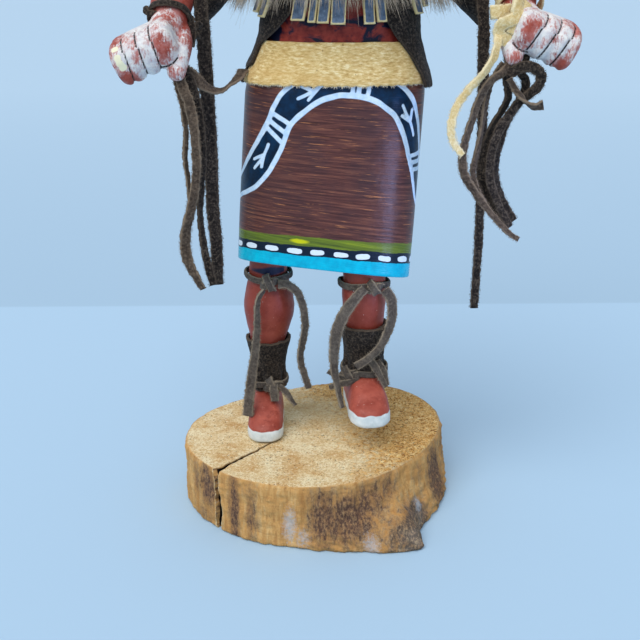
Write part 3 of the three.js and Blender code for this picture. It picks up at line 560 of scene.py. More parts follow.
def strip(line, width, thick, turns, seed):
    """A flat strip of suede along a line, with bristly edges. Its broad side looks ahead at
    first; turns say how far round it has turned along it, in degrees, and width may change."""
    count = len(line)
    way = unit(np.gradient(line, axis=0))
    share = np.linspace(0, 1, count)
    side = unit(np.cross(way, np.broadcast_to((0.0, -1.0, 0.0), way.shape)))
    out = np.cross(side, way)
    wobble = 14 * noise(np.stack([share * count * 0.05, share, share], 1), 1.0, seed)
    turn = np.radians(np.interp(share, np.linspace(0, 1, len(turns)), turns) + wobble)
    across = side * np.cos(turn)[:, None] + out * np.sin(turn)[:, None]
    up = np.cross(way, across)
    half = np.interp(share, np.linspace(0, 1, len(width)), width) / 2
    corner = 2 * np.pi * (np.arange(14) + 0.5) / 14
    wide, deep = bulged(np.cos(corner), 0.38), bulged(np.sin(corner), 0.5) * thick / 2
    rings = line[:, None] + up[:, None] * deep[:, None]
    rings = rings + across[:, None] * (half[:, None] * wide)[..., None]
    edge = np.abs(wide) ** 3
    ragged = rough(rings, 0.9, seed, 2) * FUZZ * (0.5 + edge)
    rings = rings + unit(rings - line[:, None]) * ragged[..., None]
    cup = 0.3 * np.sin(share * 9 + seed)[:, None] * wide**2
    rings = rings + up[:, None] * cup[..., None]
    rows = np.concatenate([line + across * half[:, None], line - across * half[:, None]])
    hairs = bristles(rows, np.concatenate([across, -across]), np.concatenate([way, way]),
                     int(length_of(line) * 11), HAIR, seed + 100)
    cut = np.concatenate([np.tile(edge, count), [1, 1]])
    return joined([(*tube(rings), cut), (*hairs, np.full(len(hairs[0]), 0.8))])


# The look of each lace, its width along it, and how far round it has turned along it.
LACE_CUTS = {
    "right_arm_lace": ("dark_suede", (5, 5.2, 5, 5, 4.4), (0, 8)),
    "right_hand_lace_front": ("worn_suede", (3.4, 3.8, 3.4, 3, 4, 4, 2.4), (10, -30, 35, -30)),
    "right_hand_lace_back": ("dark_suede", (3.6, 4, 3.4, 2.6, 3), (0, 15, 50, 0)),
    "right_hand_lace_outer": ("worn_suede", (2.2, 1.9, 1.5), (0, 60)),
    "left_arm_lace": ("dark_suede", (4.4, 4, 3.4, 3.2, 3.2), (0, -10, 10)),
    "left_hand_lace_loop": ("dark_suede", (3.6, 3.8, 3, 3.4, 3, 2.6), (20, 0, -20, 10)),
    "left_hand_lace_inner": ("dark_suede", (3, 3.6, 3), (0, 45, -20, 30)),
    "left_hand_lace_outer": ("dark_suede", (2.8, 3.2, 3), (0, -35, 30, 10)),
    "left_hand_lace_front": ("worn_suede", (2.6, 3, 2.8, 3.2, 2.2, 1.8), (0, 40, -30, 30)),
    "left_hand_lace_thin": ("worn_suede", (2, 2.2, 2), (0, 60, -40)),
    "pale_lace": ("pale_suede", (2.8, 3, 2.6, 2.8, 2.2), (0, 35, -30, 20)),
    "right_knee_lace_outer": ("grey_suede", (2.2, 2.6, 3.4, 4.2, 4.4), (55, 10, 0, -5)),
    "right_knee_lace_inner": ("grey_suede", (3.2, 3, 3, 2.8, 2.6), (20, 0, 40, 0)),
    "left_knee_lace_inner": ("grey_suede", (3.4, 4.4, 4.8, 3.8, 2.6, 2), (-30, -10, 20, 40)),
    "left_knee_lace_outer": ("grey_suede", (4.2, 3.8, 3.2, 3), (0, 20, 0, -20)),
}
# Where the laces that a fist holds start inside it.
HELD = {
    "right_hand_lace_front": [(-46.8, -22.4, 178.6)],
    "right_hand_lace_back": [(-45, -19.8, 178.6)],
    "right_hand_lace_outer": [(-48, -21, 178)],
    "left_hand_lace_loop": [(68.6, -22.6, 182.4)],
    "left_hand_lace_inner": [(69.6, -21.6, 183)],
    "left_hand_lace_outer": [(75.6, -21.6, 183.4)],
    "left_hand_lace_front": [(69.6, -23.6, 180.6)],
    "left_hand_lace_thin": [(67, -23.4, 180)],
}


def laces(materials):
    for seed, (name, (look, width, turns)) in enumerate(LACE_CUTS.items()):
        line = evenly(curve_through(HELD.get(name, []) + ROUTES[name]), 0.5)
        points, faces, cut = strip(line, width, LEATHER, turns, seed)
        kind = "pale_suede" if name == "pale_lace" else "brown_suede"
        lace = piece(name + "_strip", points, faces, materials[look], kind, [name], cut=cut)
    for name, route, width, turns in (
        ("hip_lace", HIP_LACE, (4.4, 4, 3.6, 4.4), (-20, 40, 80, 30)),
        ("left_bundle_tie", BUNDLE_TIE, (2, 2.4, 3, 3.4), (0, 60, 170)),
    ):
        points, faces, cut = strip(evenly(curve_through(route), 0.5), width, LEATHER, turns, 31)
        piece(name + "_strip", points, faces, materials["worn_suede"], "brown_suede", [name],
              cut=cut)


# ---------- the carved body ----------
HEM_Z = 97  # the kilt's hem, on the body's middle line
HEM_X = 4.7
BODY_Y = 8
LEAN = 0.0577  # the body leans to +X by this much for each millimetre up
HEM_SLOPE_X = -0.116  # the hem falls towards +X
HEM_SLOPE_Y = -0.22  # and rises towards the front
HEM_LEVEL_Z = 150  # the kilt's sections are level from here up
KILT_TOP = 173
NECK_Z = 242
CHEST_X = 11  # the arms mirror about this plane
# z, how far the section lies off the leaning line, half width, half depth, squareness
BODY = np.array([
    (HEM_Z, 0, 34.5, 22, 3),
    (118, 0, 34.6, 22.2, 2.9),
    (HEM_LEVEL_Z, 0, 34.4, 21.8, 2.8),
    (168, 0.1, 34.2, 21.2, 2.7),
    (KILT_TOP, 0.2, 33.2, 20.3, 2.5),
    (180, 0.6, 30, 18.6, 2.4),
    (187, 0.6, 27.6, 17.4, 2.3),
    (200, 0.3, 26.4, 16.6, 2.3),
    (215, 0, 27.4, 17.4, 2.3),
    (226, 0, 27.6, 16.8, 2.3),
    (233, 0, 24.5, 15, 2.2),
    (238, 0, 18, 13, 2.1),
    (NECK_Z, 0, 14, 12, 2),
])
BODY_TABLE_Z = np.arange(BODY[0, 0], BODY[-1, 0] + 0.25, 0.5)
BODY_TABLE = [smoothed(np.interp(BODY_TABLE_Z, BODY[:, 0], BODY[:, k]), 6) for k in range(1, 5)]


def body_section(z):
    z = np.clip(z, BODY[0, 0], BODY[-1, 0])
    return [np.interp(z, BODY_TABLE_Z, column) for column in BODY_TABLE]


def on_body(z, turn, grow=0.0):
    """Points of the body's surface, grown outwards; turn is in radians from straight ahead."""
    shift, w, d, n = body_section(z)
    c, s = np.sin(turn), -np.cos(turn)
    reach = squared_off(c, s, n)
    x, y = (w + grow) * c * reach, (d + grow) * s * reach
    slope = np.clip((HEM_LEVEL_Z - z) / (HEM_LEVEL_Z - HEM_Z), 0, 1)
    middle = HEM_X + (z - HEM_Z) * LEAN + shift
    return np.stack([middle + x, BODY_Y + y,
                     z + slope * (HEM_SLOPE_X * x + HEM_SLOPE_Y * y)], axis=-1)


def even_turns(z, count):
    """Turns round the body that are evenly spaced along its surface at height z, and how far
    each is from straight ahead, in millimetres."""
    fine = np.radians(np.linspace(-180, 180, 1441))
    points = on_body(np.full(fine.shape, z), fine)[:, :2]
    along = np.concatenate([[0], np.cumsum(np.linalg.norm(np.diff(points, axis=0), axis=1))])
    along -= along[len(along) // 2]
    at = np.linspace(along[0], along[-1], count, endpoint=False)
    return np.interp(at, along, fine), at


# The painted kilt: places are millimetres round from straight ahead, and heights on the kilt.
QUARTER = 47  # from straight ahead to the kilt's side
BAND_LOWER = [
    (-47, 123.5), (-38, 126.5), (-30.1, 130.2), (-24.9, 136), (-21.2, 142.8), (-18.3, 150.5),
    (-16.2, 156.8), (-10.5, 162.5), (-4.6, 166.2), (2.5, 167.8), (10.9, 167), (17.4, 164.2),
    (23, 160), (27, 153.8), (29.8, 146.8), (33.5, 138.2), (38, 128.5), (47, 123.5),
]
BAND_UPPER = [
    (-47, 132), (-38, 137.5), (-31, 147.6), (-25.3, 158), (-21.8, 166), (-17.2, 171.2),
    (-8, 175.5), (2, 177), (16, 176), (25.4, 171), (30.5, 166), (33.2, 161.5), (37, 152),
    (41, 140), (47, 132),
]
BARS = [
    [(-22.9, 160.8), (-16.8, 157.5)], [(-24.3, 158.3), (-17.8, 154)],
    [(-25.5, 156), (-19.2, 150.8)],
    [(6.3, 172.5), (6.3, 168)], [(8.8, 172.5), (8.4, 168)], [(12.8, 172.5), (11.6, 167.3)],
    [(30.6, 144.6), (40.4, 145.4)], [(31.4, 142), (41, 142.6)], [(32.6, 139.4), (42, 139.6)],
]
TRACKS = [
    [(-24.3, 149.8), (-25.9, 144.8), (-26.8, 139.8)], [(-25.8, 145.2), (-30.4, 142.8)],
    [(-26.2, 144), (-29.9, 139)],
    [(-2.5, 173), (-9.2, 168.9), (-13.8, 166.7)], [(-6.4, 170.4), (-9.9, 166.2)],
    [(-9, 169.6), (-13, 171)],
    [(32.6, 152.5), (30, 157.5), (26.1, 163.8)], [(30, 157.5), (26.2, 160)],
    [(30.1, 157.6), (30.7, 161.9)],
]
LINE_HALF, BAR_HALF, TRACK_HALF = 1.0, 0.8, 0.62  # half the widths of the painted lines
FAR = 9.0  # a value for points that a mark doesn't reach
BAND_TURQUOISE, BAND_NAVY, BAND_GREEN = 102.7, 106.9, 110.9  # tops of the hem's stripes
DASH_GAP = 8.8  # from one white dash to the next
DASH_Z, DASH_HALF_LONG, DASH_HALF_HIGH = 104.5, 2.7, 1.15
SMEAR_PLACE, SMEAR_Z, SMEAR_HALF = -10.0, 108.8, 3.6  # the yellow smear on the green stripe
BODY_RED_Z = 177  # the bare body is painted from here up, behind the belt


def kilt_paint(place, z):
    """How far each point of the kilt is outside the white lines and the dark band, in mm."""
    back = np.abs(place) > QUARTER
    folded = np.where(back, np.sign(place) * 2 * QUARTER - place, place)
    folded = np.where(back, -folded * 0.96 - 2, folded)
    spot = np.stack([np.clip(folded, -QUARTER, QUARTER), z], axis=1)
    wander = np.stack([spot[:, 0], spot[:, 1], np.zeros(len(spot))], axis=1)
    spot = spot + 0.22 * np.stack([noise(wander, 3, 1), noise(wander, 3, 2)], axis=1)
    lower = curve_through(BAND_LOWER, 6)
    upper = curve_through(BAND_UPPER, 6)
    white = np.minimum(distance_to(spot, lower), distance_to(spot, upper)) - LINE_HALF
    for bar in BARS:
        white = np.minimum(white, distance_to(spot, np.array(bar)) - BAR_HALF)
    for toe in TRACKS:
        white = np.minimum(white, distance_to(spot, curve_through(toe, 4)) - TRACK_HALF)
    floor = np.interp(spot[:, 0], lower[:, 0], lower[:, 1])
    roof = np.interp(spot[:, 0], upper[:, 0], upper[:, 1])
    dark = np.maximum(floor - z, z - roof)
    return white, dark


def trunk():
    """The kilt, body and neck as one lofted skin: points, faces and painting values."""
    turns, place = even_turns(120, 312)
    heights = np.concatenate([np.arange(HEM_Z + 0.6, KILT_TOP, 0.6),
                              np.arange(KILT_TOP, NECK_Z + 0.1, 1.5)])
    grid = on_body(heights[:, None], turns[None, :])
    levels = np.repeat(heights[:, None], len(turns), axis=1)
    hem = on_body(np.full(turns.shape, float(HEM_Z)), turns)
    middle = hem.mean(axis=0)
    inward = [(0.995, 0.12), (0.985, 0), (0.96, 0.1), (0.9, 1.4), (0.6, 2.2), (0.15, 2.4)]
    under = [middle + (hem - middle) * scale + (0, 0, lift) for scale, lift in inward[::-1]]
    rings = np.concatenate([np.stack(under), grid])
    z = np.concatenate([np.full((len(under), len(turns)), float(HEM_Z)), levels])
    points, faces = tube(rings)
    places = np.tile(place, len(rings))
    white, dark = kilt_paint(places, z.ravel())
    values = {
        "place": np.concatenate([places, [0, 0]]),
        "height": np.concatenate([z.ravel(), [HEM_Z, NECK_Z]]),
        "white": np.concatenate([white, [FAR, FAR]]),
        "dark": np.concatenate([dark, [FAR, FAR]]),
    }
    return points, faces, values


def trunk_material():
    p = Paint("kilt_and_body_paint")
    z = p.attribute("height")
    place = p.attribute("place")
    level = z + (p.noise(7, 3, 0.6) - 0.5) * 1.6
    # brushed brown with orange scratches that run round the kilt
    brushed = p.made("ShaderNodeCombineXYZ", 0, {0: place * (MM * 0.04),
                                                 1: (z + place * 0.07) * MM})
    streaks = p.noise(0.9, 4, 0.7, brushed)
    patches = p.noise(14, 3, 0.55)
    brown = p.ramp(streaks, (0.3, (48, 26, 25)), (0.5, (90, 52, 46)), (0.7, (132, 82, 62)))
    brown = p.mix(p.step(patches, 0.42, 0.66) * 0.6, brown, (62, 44, 47))
    scratch = p.step(p.noise(0.5, 2, 0.5, brushed), 0.61, 0.68)
    scratch = scratch * p.step(p.noise(7, 3, 0.6), 0.42, 0.58)
    brown = p.mix(scratch * 0.85, brown, (190, 122, 76))
    # the snake band with its lines and tracks
    navy = p.ramp(p.noise(3.5, 3), (0.35, (0, 22, 42)), (0.7, (3, 44, 74)))
    base = p.mix(p.step(p.attribute("dark"), 0.15, -0.15), brown, navy)
    pale = p.ramp(p.noise(2.2, 3), (0.3, (176, 204, 228)), (0.7, (216, 230, 240)))
    base = p.mix(p.step(p.attribute("white"), 0.14, -0.14), base, pale)
    # the stripes at the hem, one with a yellow smear and one with white dashes
    olive = p.ramp(p.noise(1.8, 4, 0.7, brushed), (0.35, (70, 84, 34)), (0.6, (112, 128, 36)),
                   (0.75, (150, 160, 40)))
    smear = ((place - SMEAR_PLACE) / SMEAR_HALF) ** 2 + (level - SMEAR_Z) ** 2 + streaks * 1.2
    olive = p.mix(p.step(smear, 1.9, 0.9) * 0.85, olive, (210, 206, 14))
    base = p.mix(p.step(level, BAND_GREEN + 0.25, BAND_GREEN - 0.25), base, olive)
    base = p.mix(p.step(level, BAND_NAVY + 0.15, BAND_NAVY - 0.15), base, (14, 28, 46))
    dash_at = p.math("PINGPONG", place + 3.0 + DASH_GAP / 2, DASH_GAP / 2)
    dash_at = dash_at + (p.noise(5, 1) - 0.5) * 2.2
    in_dash = abs((DASH_GAP / 2 - dash_at) / DASH_HALF_LONG)
    off_dash = abs((level - DASH_Z) / DASH_HALF_HIGH)
    base = p.mix(p.step(in_dash**3 + off_dash**3, 1.15, 0.85), base, (222, 230, 236))
    turquoise = p.ramp(p.noise(3, 2), (0.3, (0, 160, 188)), (0.7, (0, 186, 210)))
    base = p.mix(p.step(level, BAND_TURQUOISE + 0.12, BAND_TURQUOISE - 0.12), base, turquoise)
    # the red body above the belt, mottled with navy
    red = p.ramp(p.noise(2.4, 3), (0.3, (112, 34, 30)), (0.7, (160, 62, 48)))
    mottled = p.noise(9, 4, 0.65, p.stretched((1, 1, 1.6)), 0.5)
    body = p.mix(p.step(mottled, 0.47, 0.56), red, (18, 22, 44))
    base = p.mix(p.step(z, BODY_RED_Z, BODY_RED_Z + 1), base, body)
    gloss = streaks * 0.24 + 0.22 + (1.0 - p.step(z, 109, 111)) * -0.06
    normal = p.bump(streaks, 0.10, p.bump(patches, 0.5))
    normal = p.bump(p.step(p.attribute("white"), 0.3, -0.3), 0.06, normal)
    return p.done(base, gloss, normal, Specular_IOR_Level=0.2)


# Legs: middle and radius of each section, from under the kilt down to the ankle.
RIGHT_LEG = [
    (-17, 9, 108, 7.6), (-18, 9.6, 97, 7.7), (-18, 10, 91, 8.5), (-18, 10, 84, 10.1),
    (-18, 10.4, 77, 10.4), (-18.8, 10.5, 65, 7.4), (-19, 10.5, 55, 5.5), (-19, 10, 38, 5.2),
]
LEFT_LEG = [
    (19, 3, 108, 8.4), (20.8, -1, 97, 8.5), (20.8, -1.6, 87, 8.8), (21.3, -1, 77, 7.8),
    (21.5, 0, 66, 6.3), (21.5, 0.5, 49, 5.9),
]
RIGHT_FOOT = {"at": (-19.5, 10, 27.4), "turn": 0, "size": 1.04, "wide": 1.03}
LEFT_FOOT = {"at": (21.2, 0.5, 39.3), "turn": 7, "size": 1.1, "wide": 1.08}
FOOT = np.array([  # how far ahead of the ankle, half width, height
    (-8.6, 3, 7), (-7.4, 5.2, 12), (-4, 6.4, 15), (2, 6.6, 15.5), (8, 6.7, 14),
    (13.5, 7, 11), (18, 6.6, 8.2), (20.8, 5.2, 6.6), (22.4, 3, 5),
])


def limb(sections, count=40, per_span=8):
    """Rings round a limb through sections (x, y, z, radius), each square to its line."""
    path = curve_through(sections, per_span)
    line, radius = path[:, :3], path[:, 3]
    way = unit(np.gradient(line, axis=0))
    side = unit(np.cross((0.0, 1.0, 0.0), way))
    over = np.cross(way, side)
    turn = full_turn(count)[None, :, None]
    ring = side[:, None, :] * np.cos(turn) + over[:, None, :] * np.sin(turn)
    return line[:, None, :] + ring * radius[:, None, None]


def foot(spec):
    """Rings of a moccasin from heel to toe."""
    arch = np.pi * np.linspace(0, 1, 40)
    rings = []
    for ahead, w, h in curve_through(FOOT, 8):
        w = max(w, 0.6)
        x = np.append(w * bulged(np.cos(arch), 0.62), [-w, -w + 0.8, 0, w - 0.8, w])
        z = np.append(3 + (h - 3) * np.sin(arch) ** 0.85, [0.7, 0, 0, 0, 0.7])
        rings.append(np.stack([x, np.full(x.shape, -ahead), z], axis=1))
    rings = np.array(rings) * spec["size"] * (spec["wide"], 1, 1)
    a = math.radians(spec["turn"])
    turn = np.array([[math.cos(a), math.sin(a), 0], [-math.sin(a), math.cos(a), 0], [0, 0, 1]])
    return rings @ turn + spec["at"]


def legs():
    parts = [tube(limb(RIGHT_LEG)), tube(limb(LEFT_LEG)), tube(foot(RIGHT_FOOT)),
             tube(foot(LEFT_FOOT))]
    points, faces = one_skin(*gathered(parts), 0.82, 3)
    return moved(points, faces, lambda p, n: 0.12 * rough(p, 3.5, 5, 2)), faces


def foot_frame(points, spec):
    """Points in a foot's own measure: across, ahead of the ankle, above the sole."""
    local = (points - spec["at"]) / spec["size"]
    a = math.radians(spec["turn"])
    across = local[:, 0] * math.cos(a) + local[:, 1] * math.sin(a)
    ahead = local[:, 0] * math.sin(a) - local[:, 1] * math.cos(a)
    return across, ahead, local[:, 2]


def sole_value(points):
    """How far above the white sole's upper edge each point is."""
    best = np.full(len(points), FAR)
    for spec in (RIGHT_FOOT, LEFT_FOOT):
        across, ahead, high = foot_frame(points, spec)
        near = (np.abs(across) < 12) & (ahead > -14) & (ahead < 28)
        edge = 4.7 + 0.07 * np.maximum(8 - ahead, 0) + 0.42 * rough(points, 2.6, 3, 2)
        best = np.where(near, np.minimum(best, high - edge), best)
    return best


def legs_material():
    def base(p):
        red = p.ramp(p.noise(7, 3), (0.35, (146, 62, 48)), (0.65, (176, 86, 69)))
        red = p.mix(p.step(p.noise(1.4, 3, 0.7), 0.6, 0.75), red, (192, 106, 88))
        red = p.mix(p.step(p.noise(4, 3, 0.7), 0.44, 0.34) * 0.5, red, (118, 44, 34))
        # darker red from 50 mm up the legs, and darkest from 70 mm up to the kilt
        red = p.mix(p.step(p.axes()[2], 50, 70) * 0.5, red, (130, 48, 34))
        red = p.mix(p.step(p.noise(1.1, 2), 0.735, 0.75), red, (222, 200, 190))
        red = p.mix(p.step(p.attribute("garter"), 0.4, -0.4), red, (20, 28, 56))
        white = p.ramp(p.noise(2.5, 3), (0.3, (196, 206, 206)), (0.7, (226, 231, 230)))
        return p.mix(p.step(p.attribute("sole"), 0.15, -0.15), red, white)

    return painted_wood("leg_paint", base, 0.4)


# ---------- the helmet mask ----------
HEAD_X = 13
HEAD = np.array([  # z, half width, half depth, squareness
    (239, 16, 15.5, 2), (240, 20.5, 19.5, 2.1), (246, 22, 21, 2.2), (264, 22.6, 21.6, 2.2),
    (276, 21.6, 20.8, 2.2), (284, 18.4, 17.8, 2.1), (289, 13.2, 12.8, 2), (291.5, 6, 6, 2),
])
SNOUT = {"z": 256, "radius": 4.4, "length": 8}
WHITE_STRIPE_Z, BLUE_STRIPE_Z = 250, 273
EYES = {"z": 266, "apart": 17, "width": 7, "height": 2.4, "depth": 1.2}
FACE_Y = BODY_Y - 21.5
# The snout's outline: how far ahead of the face, and its share of the radius.
SNOUT_PROFILE = [(3, 1), (-SNOUT["length"] + 0.6, 0.9), (-SNOUT["length"], 0.84),
                 (-SNOUT["length"], 0.5), (-SNOUT["length"] + 2.5, 0.45)]


def eye_distance(points):
    """How far each point is outside the nearer eye slot, seen from ahead."""
    x = np.abs(points[:, 0] - HEAD_X) - EYES["apart"] / 2
    z = points[:, 2] - EYES["z"]
    return np.maximum(np.abs(x) - EYES["width"] / 2, np.abs(z) - EYES["height"] / 2)


def head():
    turn = full_turn(110)
    c, s = np.cos(turn), np.sin(turn)
    skull = []
    for z, w, d, n in curve_through(HEAD, 7):
        reach = squared_off(c, s, n)
        skull.append(np.stack([HEAD_X + w * c * reach, BODY_Y + d * s * reach,
                               np.full(turn.shape, z)], axis=1))
    turn = full_turn(36)
    c, s = SNOUT["radius"] * np.cos(turn), SNOUT["radius"] * np.sin(turn)
    snout = [np.stack([HEAD_X + k * c, np.full(turn.shape, FACE_Y + y), SNOUT["z"] + k * s],
                      axis=1) for y, k in SNOUT_PROFILE]
    parts = [tube(np.stack(skull)), tube(np.stack(snout))]
    points, faces = one_skin(*gathered(parts), 0.88, 2)

    def carve(p, n):
        hole = (n[:, 1] < -0.3) * np.clip(0.6 - eye_distance(p), 0, 1) * EYES["depth"]
        return 0.1 * rough(p, 4, 8, 2) - hole

    return moved(points, faces, carve), faces


def head_material():
    white = (214, 222, 226)

    def base(p):
        _, y, z = p.axes()
        height = z + (p.noise(6) - 0.5) * 0.9
        black = p.ramp(p.noise(4, 3), (0.3, (16, 20, 28)), (0.7, (30, 40, 52)))
        red = p.ramp(p.noise(4, 3), (0.3, (140, 50, 42)), (0.7, (168, 70, 56)))
        edge = height - WHITE_STRIPE_Z
        base = p.mix(p.step(edge, 0.2, -0.2), black, red)
        base = p.mix(p.step(abs(edge), 1.1, 0.8), base, white)
        stripe = abs(height - BLUE_STRIPE_Z)
        base = p.mix(p.step(stripe, 3.4, 3.1), base, (0, 150, 176))
        base = p.mix(p.step(stripe, 1.5, 1.2), base, white)
        eye = p.attribute("eye")
        base = p.mix(p.step(eye, 1.1, 0.9), base, white)
        base = p.mix(p.step(eye, 0.2, -0.1), base, (8, 8, 10))
        return p.mix(p.step(y - FACE_Y, -4.9, -5.4), base, (150, 60, 44))

    return painted_wood("mask_paint", base, 0.4)


def garter_value(points):
    """How far each point is from the navy band painted behind the right knee's tie."""
    band = np.abs(points[:, 2] - 96.6) - 1.9 + np.abs(points[:, 0] + 16.4) * 0.18
    return np.where((points[:, 0] < 0) & (points[:, 1] < 6), band, FAR)


def figure():
    """The one carving, as a skin for each of its painted areas in one mesh."""
    leg, leg_faces = legs()
    mask, mask_faces = head()
    eyes = np.where(mask[:, 1] < BODY_Y - 10, eye_distance(mask), FAR)
    parts = [
        (*trunk(), trunk_material()),
        (leg, leg_faces, {"sole": sole_value(leg), "garter": garter_value(leg)},
         legs_material()),
        (mask, mask_faces, {"eye": eyes}, head_material()),
    ]
    points, faces = gathered(parts)
    keys = [key for part in parts for key in part[2]]
    values = {key: np.concatenate([part[2].get(key, np.full(len(part[0]), FAR))
                                   for part in parts]) for key in keys}
    obj = piece("carved_figure", points, faces, parts[0][3], "painted_body", ["figure"], **values)
    for part in parts[1:]:
        obj.data.materials.append(part[3])
    kinds = np.repeat(np.arange(len(parts)), [len(part[1]) for part in parts])
    obj.data.polygons.foreach_set("material_index", kinds.astype(np.int32))


# ---------- arms and hands ----------
LEFT_LIFT = np.array([1.5, 0, 5])  # how far the left hand is held above the right
ARM = [  # outwards from the chest, y, z, radius
    (20, 8, 227.4, 7), (33, 8.5, 224.6, 8.3), (46, 11, 217.6, 8), (54.5, 11.5, 210.5, 7.8),
    (59, 5, 205, 7.6), (61.4, -3, 199, 7.5), (61.4, -9, 193.5, 6.4), (63, -15, 189, 6.2),
]
FIST = {"at": (67.6, -19.5, 184.4), "tilt": math.radians(22), "nod": math.radians(16)}
FIST_OUTLINE = [
    (-8, 5.6), (-2, 7.6), (4, 7.4), (8.2, 4.4), (9.4, -0.8), (8.2, -6), (4.8, -9.4),
    (0.4, -8.4), (-4, -5.6), (-8, -4.8),
]
KNUCKLES = (-8.1, -2.8, 2.4)  # the grooves between the fingers, across the hand
GROOVE_HALF, GROOVE_DEPTH = 0.6, 0.6
# Across the hand, and the size of the fist's outline there.
FIST_ENDS = [(-12.6, 0.5), (-11.9, 0.8), (-10, 0.95), (-3, 1), (2.7, 1.03), (8.2, 0.98),
             (10, 0.84), (10.8, 0.55)]
# Across the hand, and how deep the curled fingers are there.
FIST_CURL = ((-11, -8, -3, 2, 10), (0.9, 0.9, 0.8, 0.8, 0.66))
THUMB = [(57.8, -9.5, 190.5), (56.8, -14, 187), (56.8, -19.4, 182.6), (57.8, -23.6, 177)]
THUMB_RADII = (3.4, 3.9, 3.7, 3.3)
CREASE = [(62.4, 178.7), (60.2, 179.2), (58.2, 180.4), (57, 181.9)]  # x and z, beside the thumb


def fist_axes():
    tilt, nod = FIST["tilt"], FIST["nod"]
    across = np.array([-math.cos(tilt), 0, math.sin(tilt)])
    ahead = np.array([0, -math.cos(nod), -math.sin(nod)])
    over = -unit(np.cross(ahead, across))
    return across, ahead, over


def fist():
    across, ahead, over = fist_axes()
    outline = curve_through(FIST_OUTLINE, 7, closed=True)
    ends = np.array(FIST_ENDS)
    rings = []
    for a in np.linspace(ends[0, 0], ends[-1, 0], 70):
        size = np.interp(a, ends[:, 0], ends[:, 1])
        gap = max(math.exp(-(((a - k) / 1.3) ** 2)) for k in KNUCKLES)
        fingers = np.where(outline[:, 0] > -5, size * (1 - 0.09 * gap), (1 + size) / 2)
        curled = np.interp(a, *FIST_CURL)
        below = np.where(outline[:, 1] < 0, curled, 1)
        rings.append(np.array(FIST["at"]) + across * a
                     + ahead * (outline[:, 0] * fingers)[:, None]
                     + over * (outline[:, 1] * fingers * below)[:, None])
    return tube(np.stack(rings))


def ball(at, radius):
    z = np.linspace(-1, 1, 18)
    turn = full_turn(24)
    r = np.sqrt(np.maximum(1 - z**2, 1e-4))
    ring = np.stack([np.outer(r, np.cos(turn)), np.outer(r, np.sin(turn)),
                     np.repeat(z[:, None], 24, 1)], axis=-1)
    return tube(ring * radius + at)


def thumb():
    path = curve_through(np.column_stack([THUMB, THUMB_RADII]), 6)
    return gathered([tube(limb(path, 24, 1)), ball(THUMB[-1], THUMB_RADII[-1]),
                     ball(THUMB[0], THUMB_RADII[0])])


def hand_frame(points):
    across, ahead, over = fist_axes()
    local = points - FIST["at"]
    return local @ across, local @ ahead, local @ over


def groove_depths(points, lean):
    """How far each point of a hand is from a cut line between its fingers or at its thumb."""
    a, h, o = hand_frame(points)
    bend = 0.10 * (h - 2) * (o < 4) - lean * o
    nearest = np.min([np.abs(a - k - bend) for k in KNUCKLES], axis=0)
    off_thumb = distance_to(points, curve_through(THUMB, 4)) > 4.6
    fingers = np.where((h > -1) & (points[:, 1] < -15) & off_thumb, nearest, FAR)
    crease = distance_to(points[:, [0, 2]], curve_through(CREASE, 5))
    return np.minimum(fingers, np.where(points[:, 1] < -20, crease, FAR))


def arm_local(lean):
    """One arm measured outwards from the chest, with its hand's values for painting. Lean is
    how far the lines between its fingers are turned."""
    parts = [tube(limb(ARM, 36, 6)), fist(), thumb()]
    points, faces = one_skin(*gathered(parts), 0.55, 4)

    def carve(p, n):
        cut = np.clip(1 - groove_depths(p, lean) / GROOVE_HALF, 0, 1) * GROOVE_DEPTH
        return 0.1 * rough(p, 2.6, 21, 2) - cut

    carved = moved(points, faces, carve)
    a, h, o = hand_frame(carved)
    brushed = noise(np.stack([a, h * 0.6, o * 0.6], 1), 4.6, 31)
    middle = 0.3 * np.exp(-(((a + 3) / 5) ** 2))
    finger_tips = 0.25 * (o < -3) * (a < -8)
    white = 0.47 + 0.42 * brushed + middle - finger_tips - 0.22 * (a < -9)
    return carved, faces, groove_depths(carved, lean), white


def arms():
    material = arm_material()
    for side, name, lean in ((-1, "right_arm", -0.14), (1, "left_arm", 0.16)):
        points, faces, groove, white = arm_local(lean)
        hand = np.clip((-points[:, 1] - 11.5) / 3.5, 0, 1)
        hand = hand * np.clip((points[:, 0] - 50) / 4, 0, 1)
        if side > 0:
            # lifted from the elbow down
            share = np.interp(points[:, 2], [189, 210], [1, 0.15])
            points = points + share[:, None] * LEFT_LIFT
        else:
            faces = [face[::-1] for face in faces]
        points[:, 0] = CHEST_X + side * points[:, 0]
        cream = np.min([np.linalg.norm(points - at, axis=1) - r for at, r in CREAM_SPOTS], 0)
        piece(name + "_carving", points, faces, material, "painted_arm", [name],
              groove=groove, white=white * hand, cream=cream + 0.4 * noise(points, 1.5, 9))


CREAM_SPOTS = [  # middle and radius of each dab of cream paint on the right hand
    ((-67.4, -26.5, 185.2), 1.3), ((-66.2, -27, 181.6), 1.4), ((-65.4, -27.3, 180.2), 1.5),
    ((-64.7, -27.5, 179.1), 1.2),
]


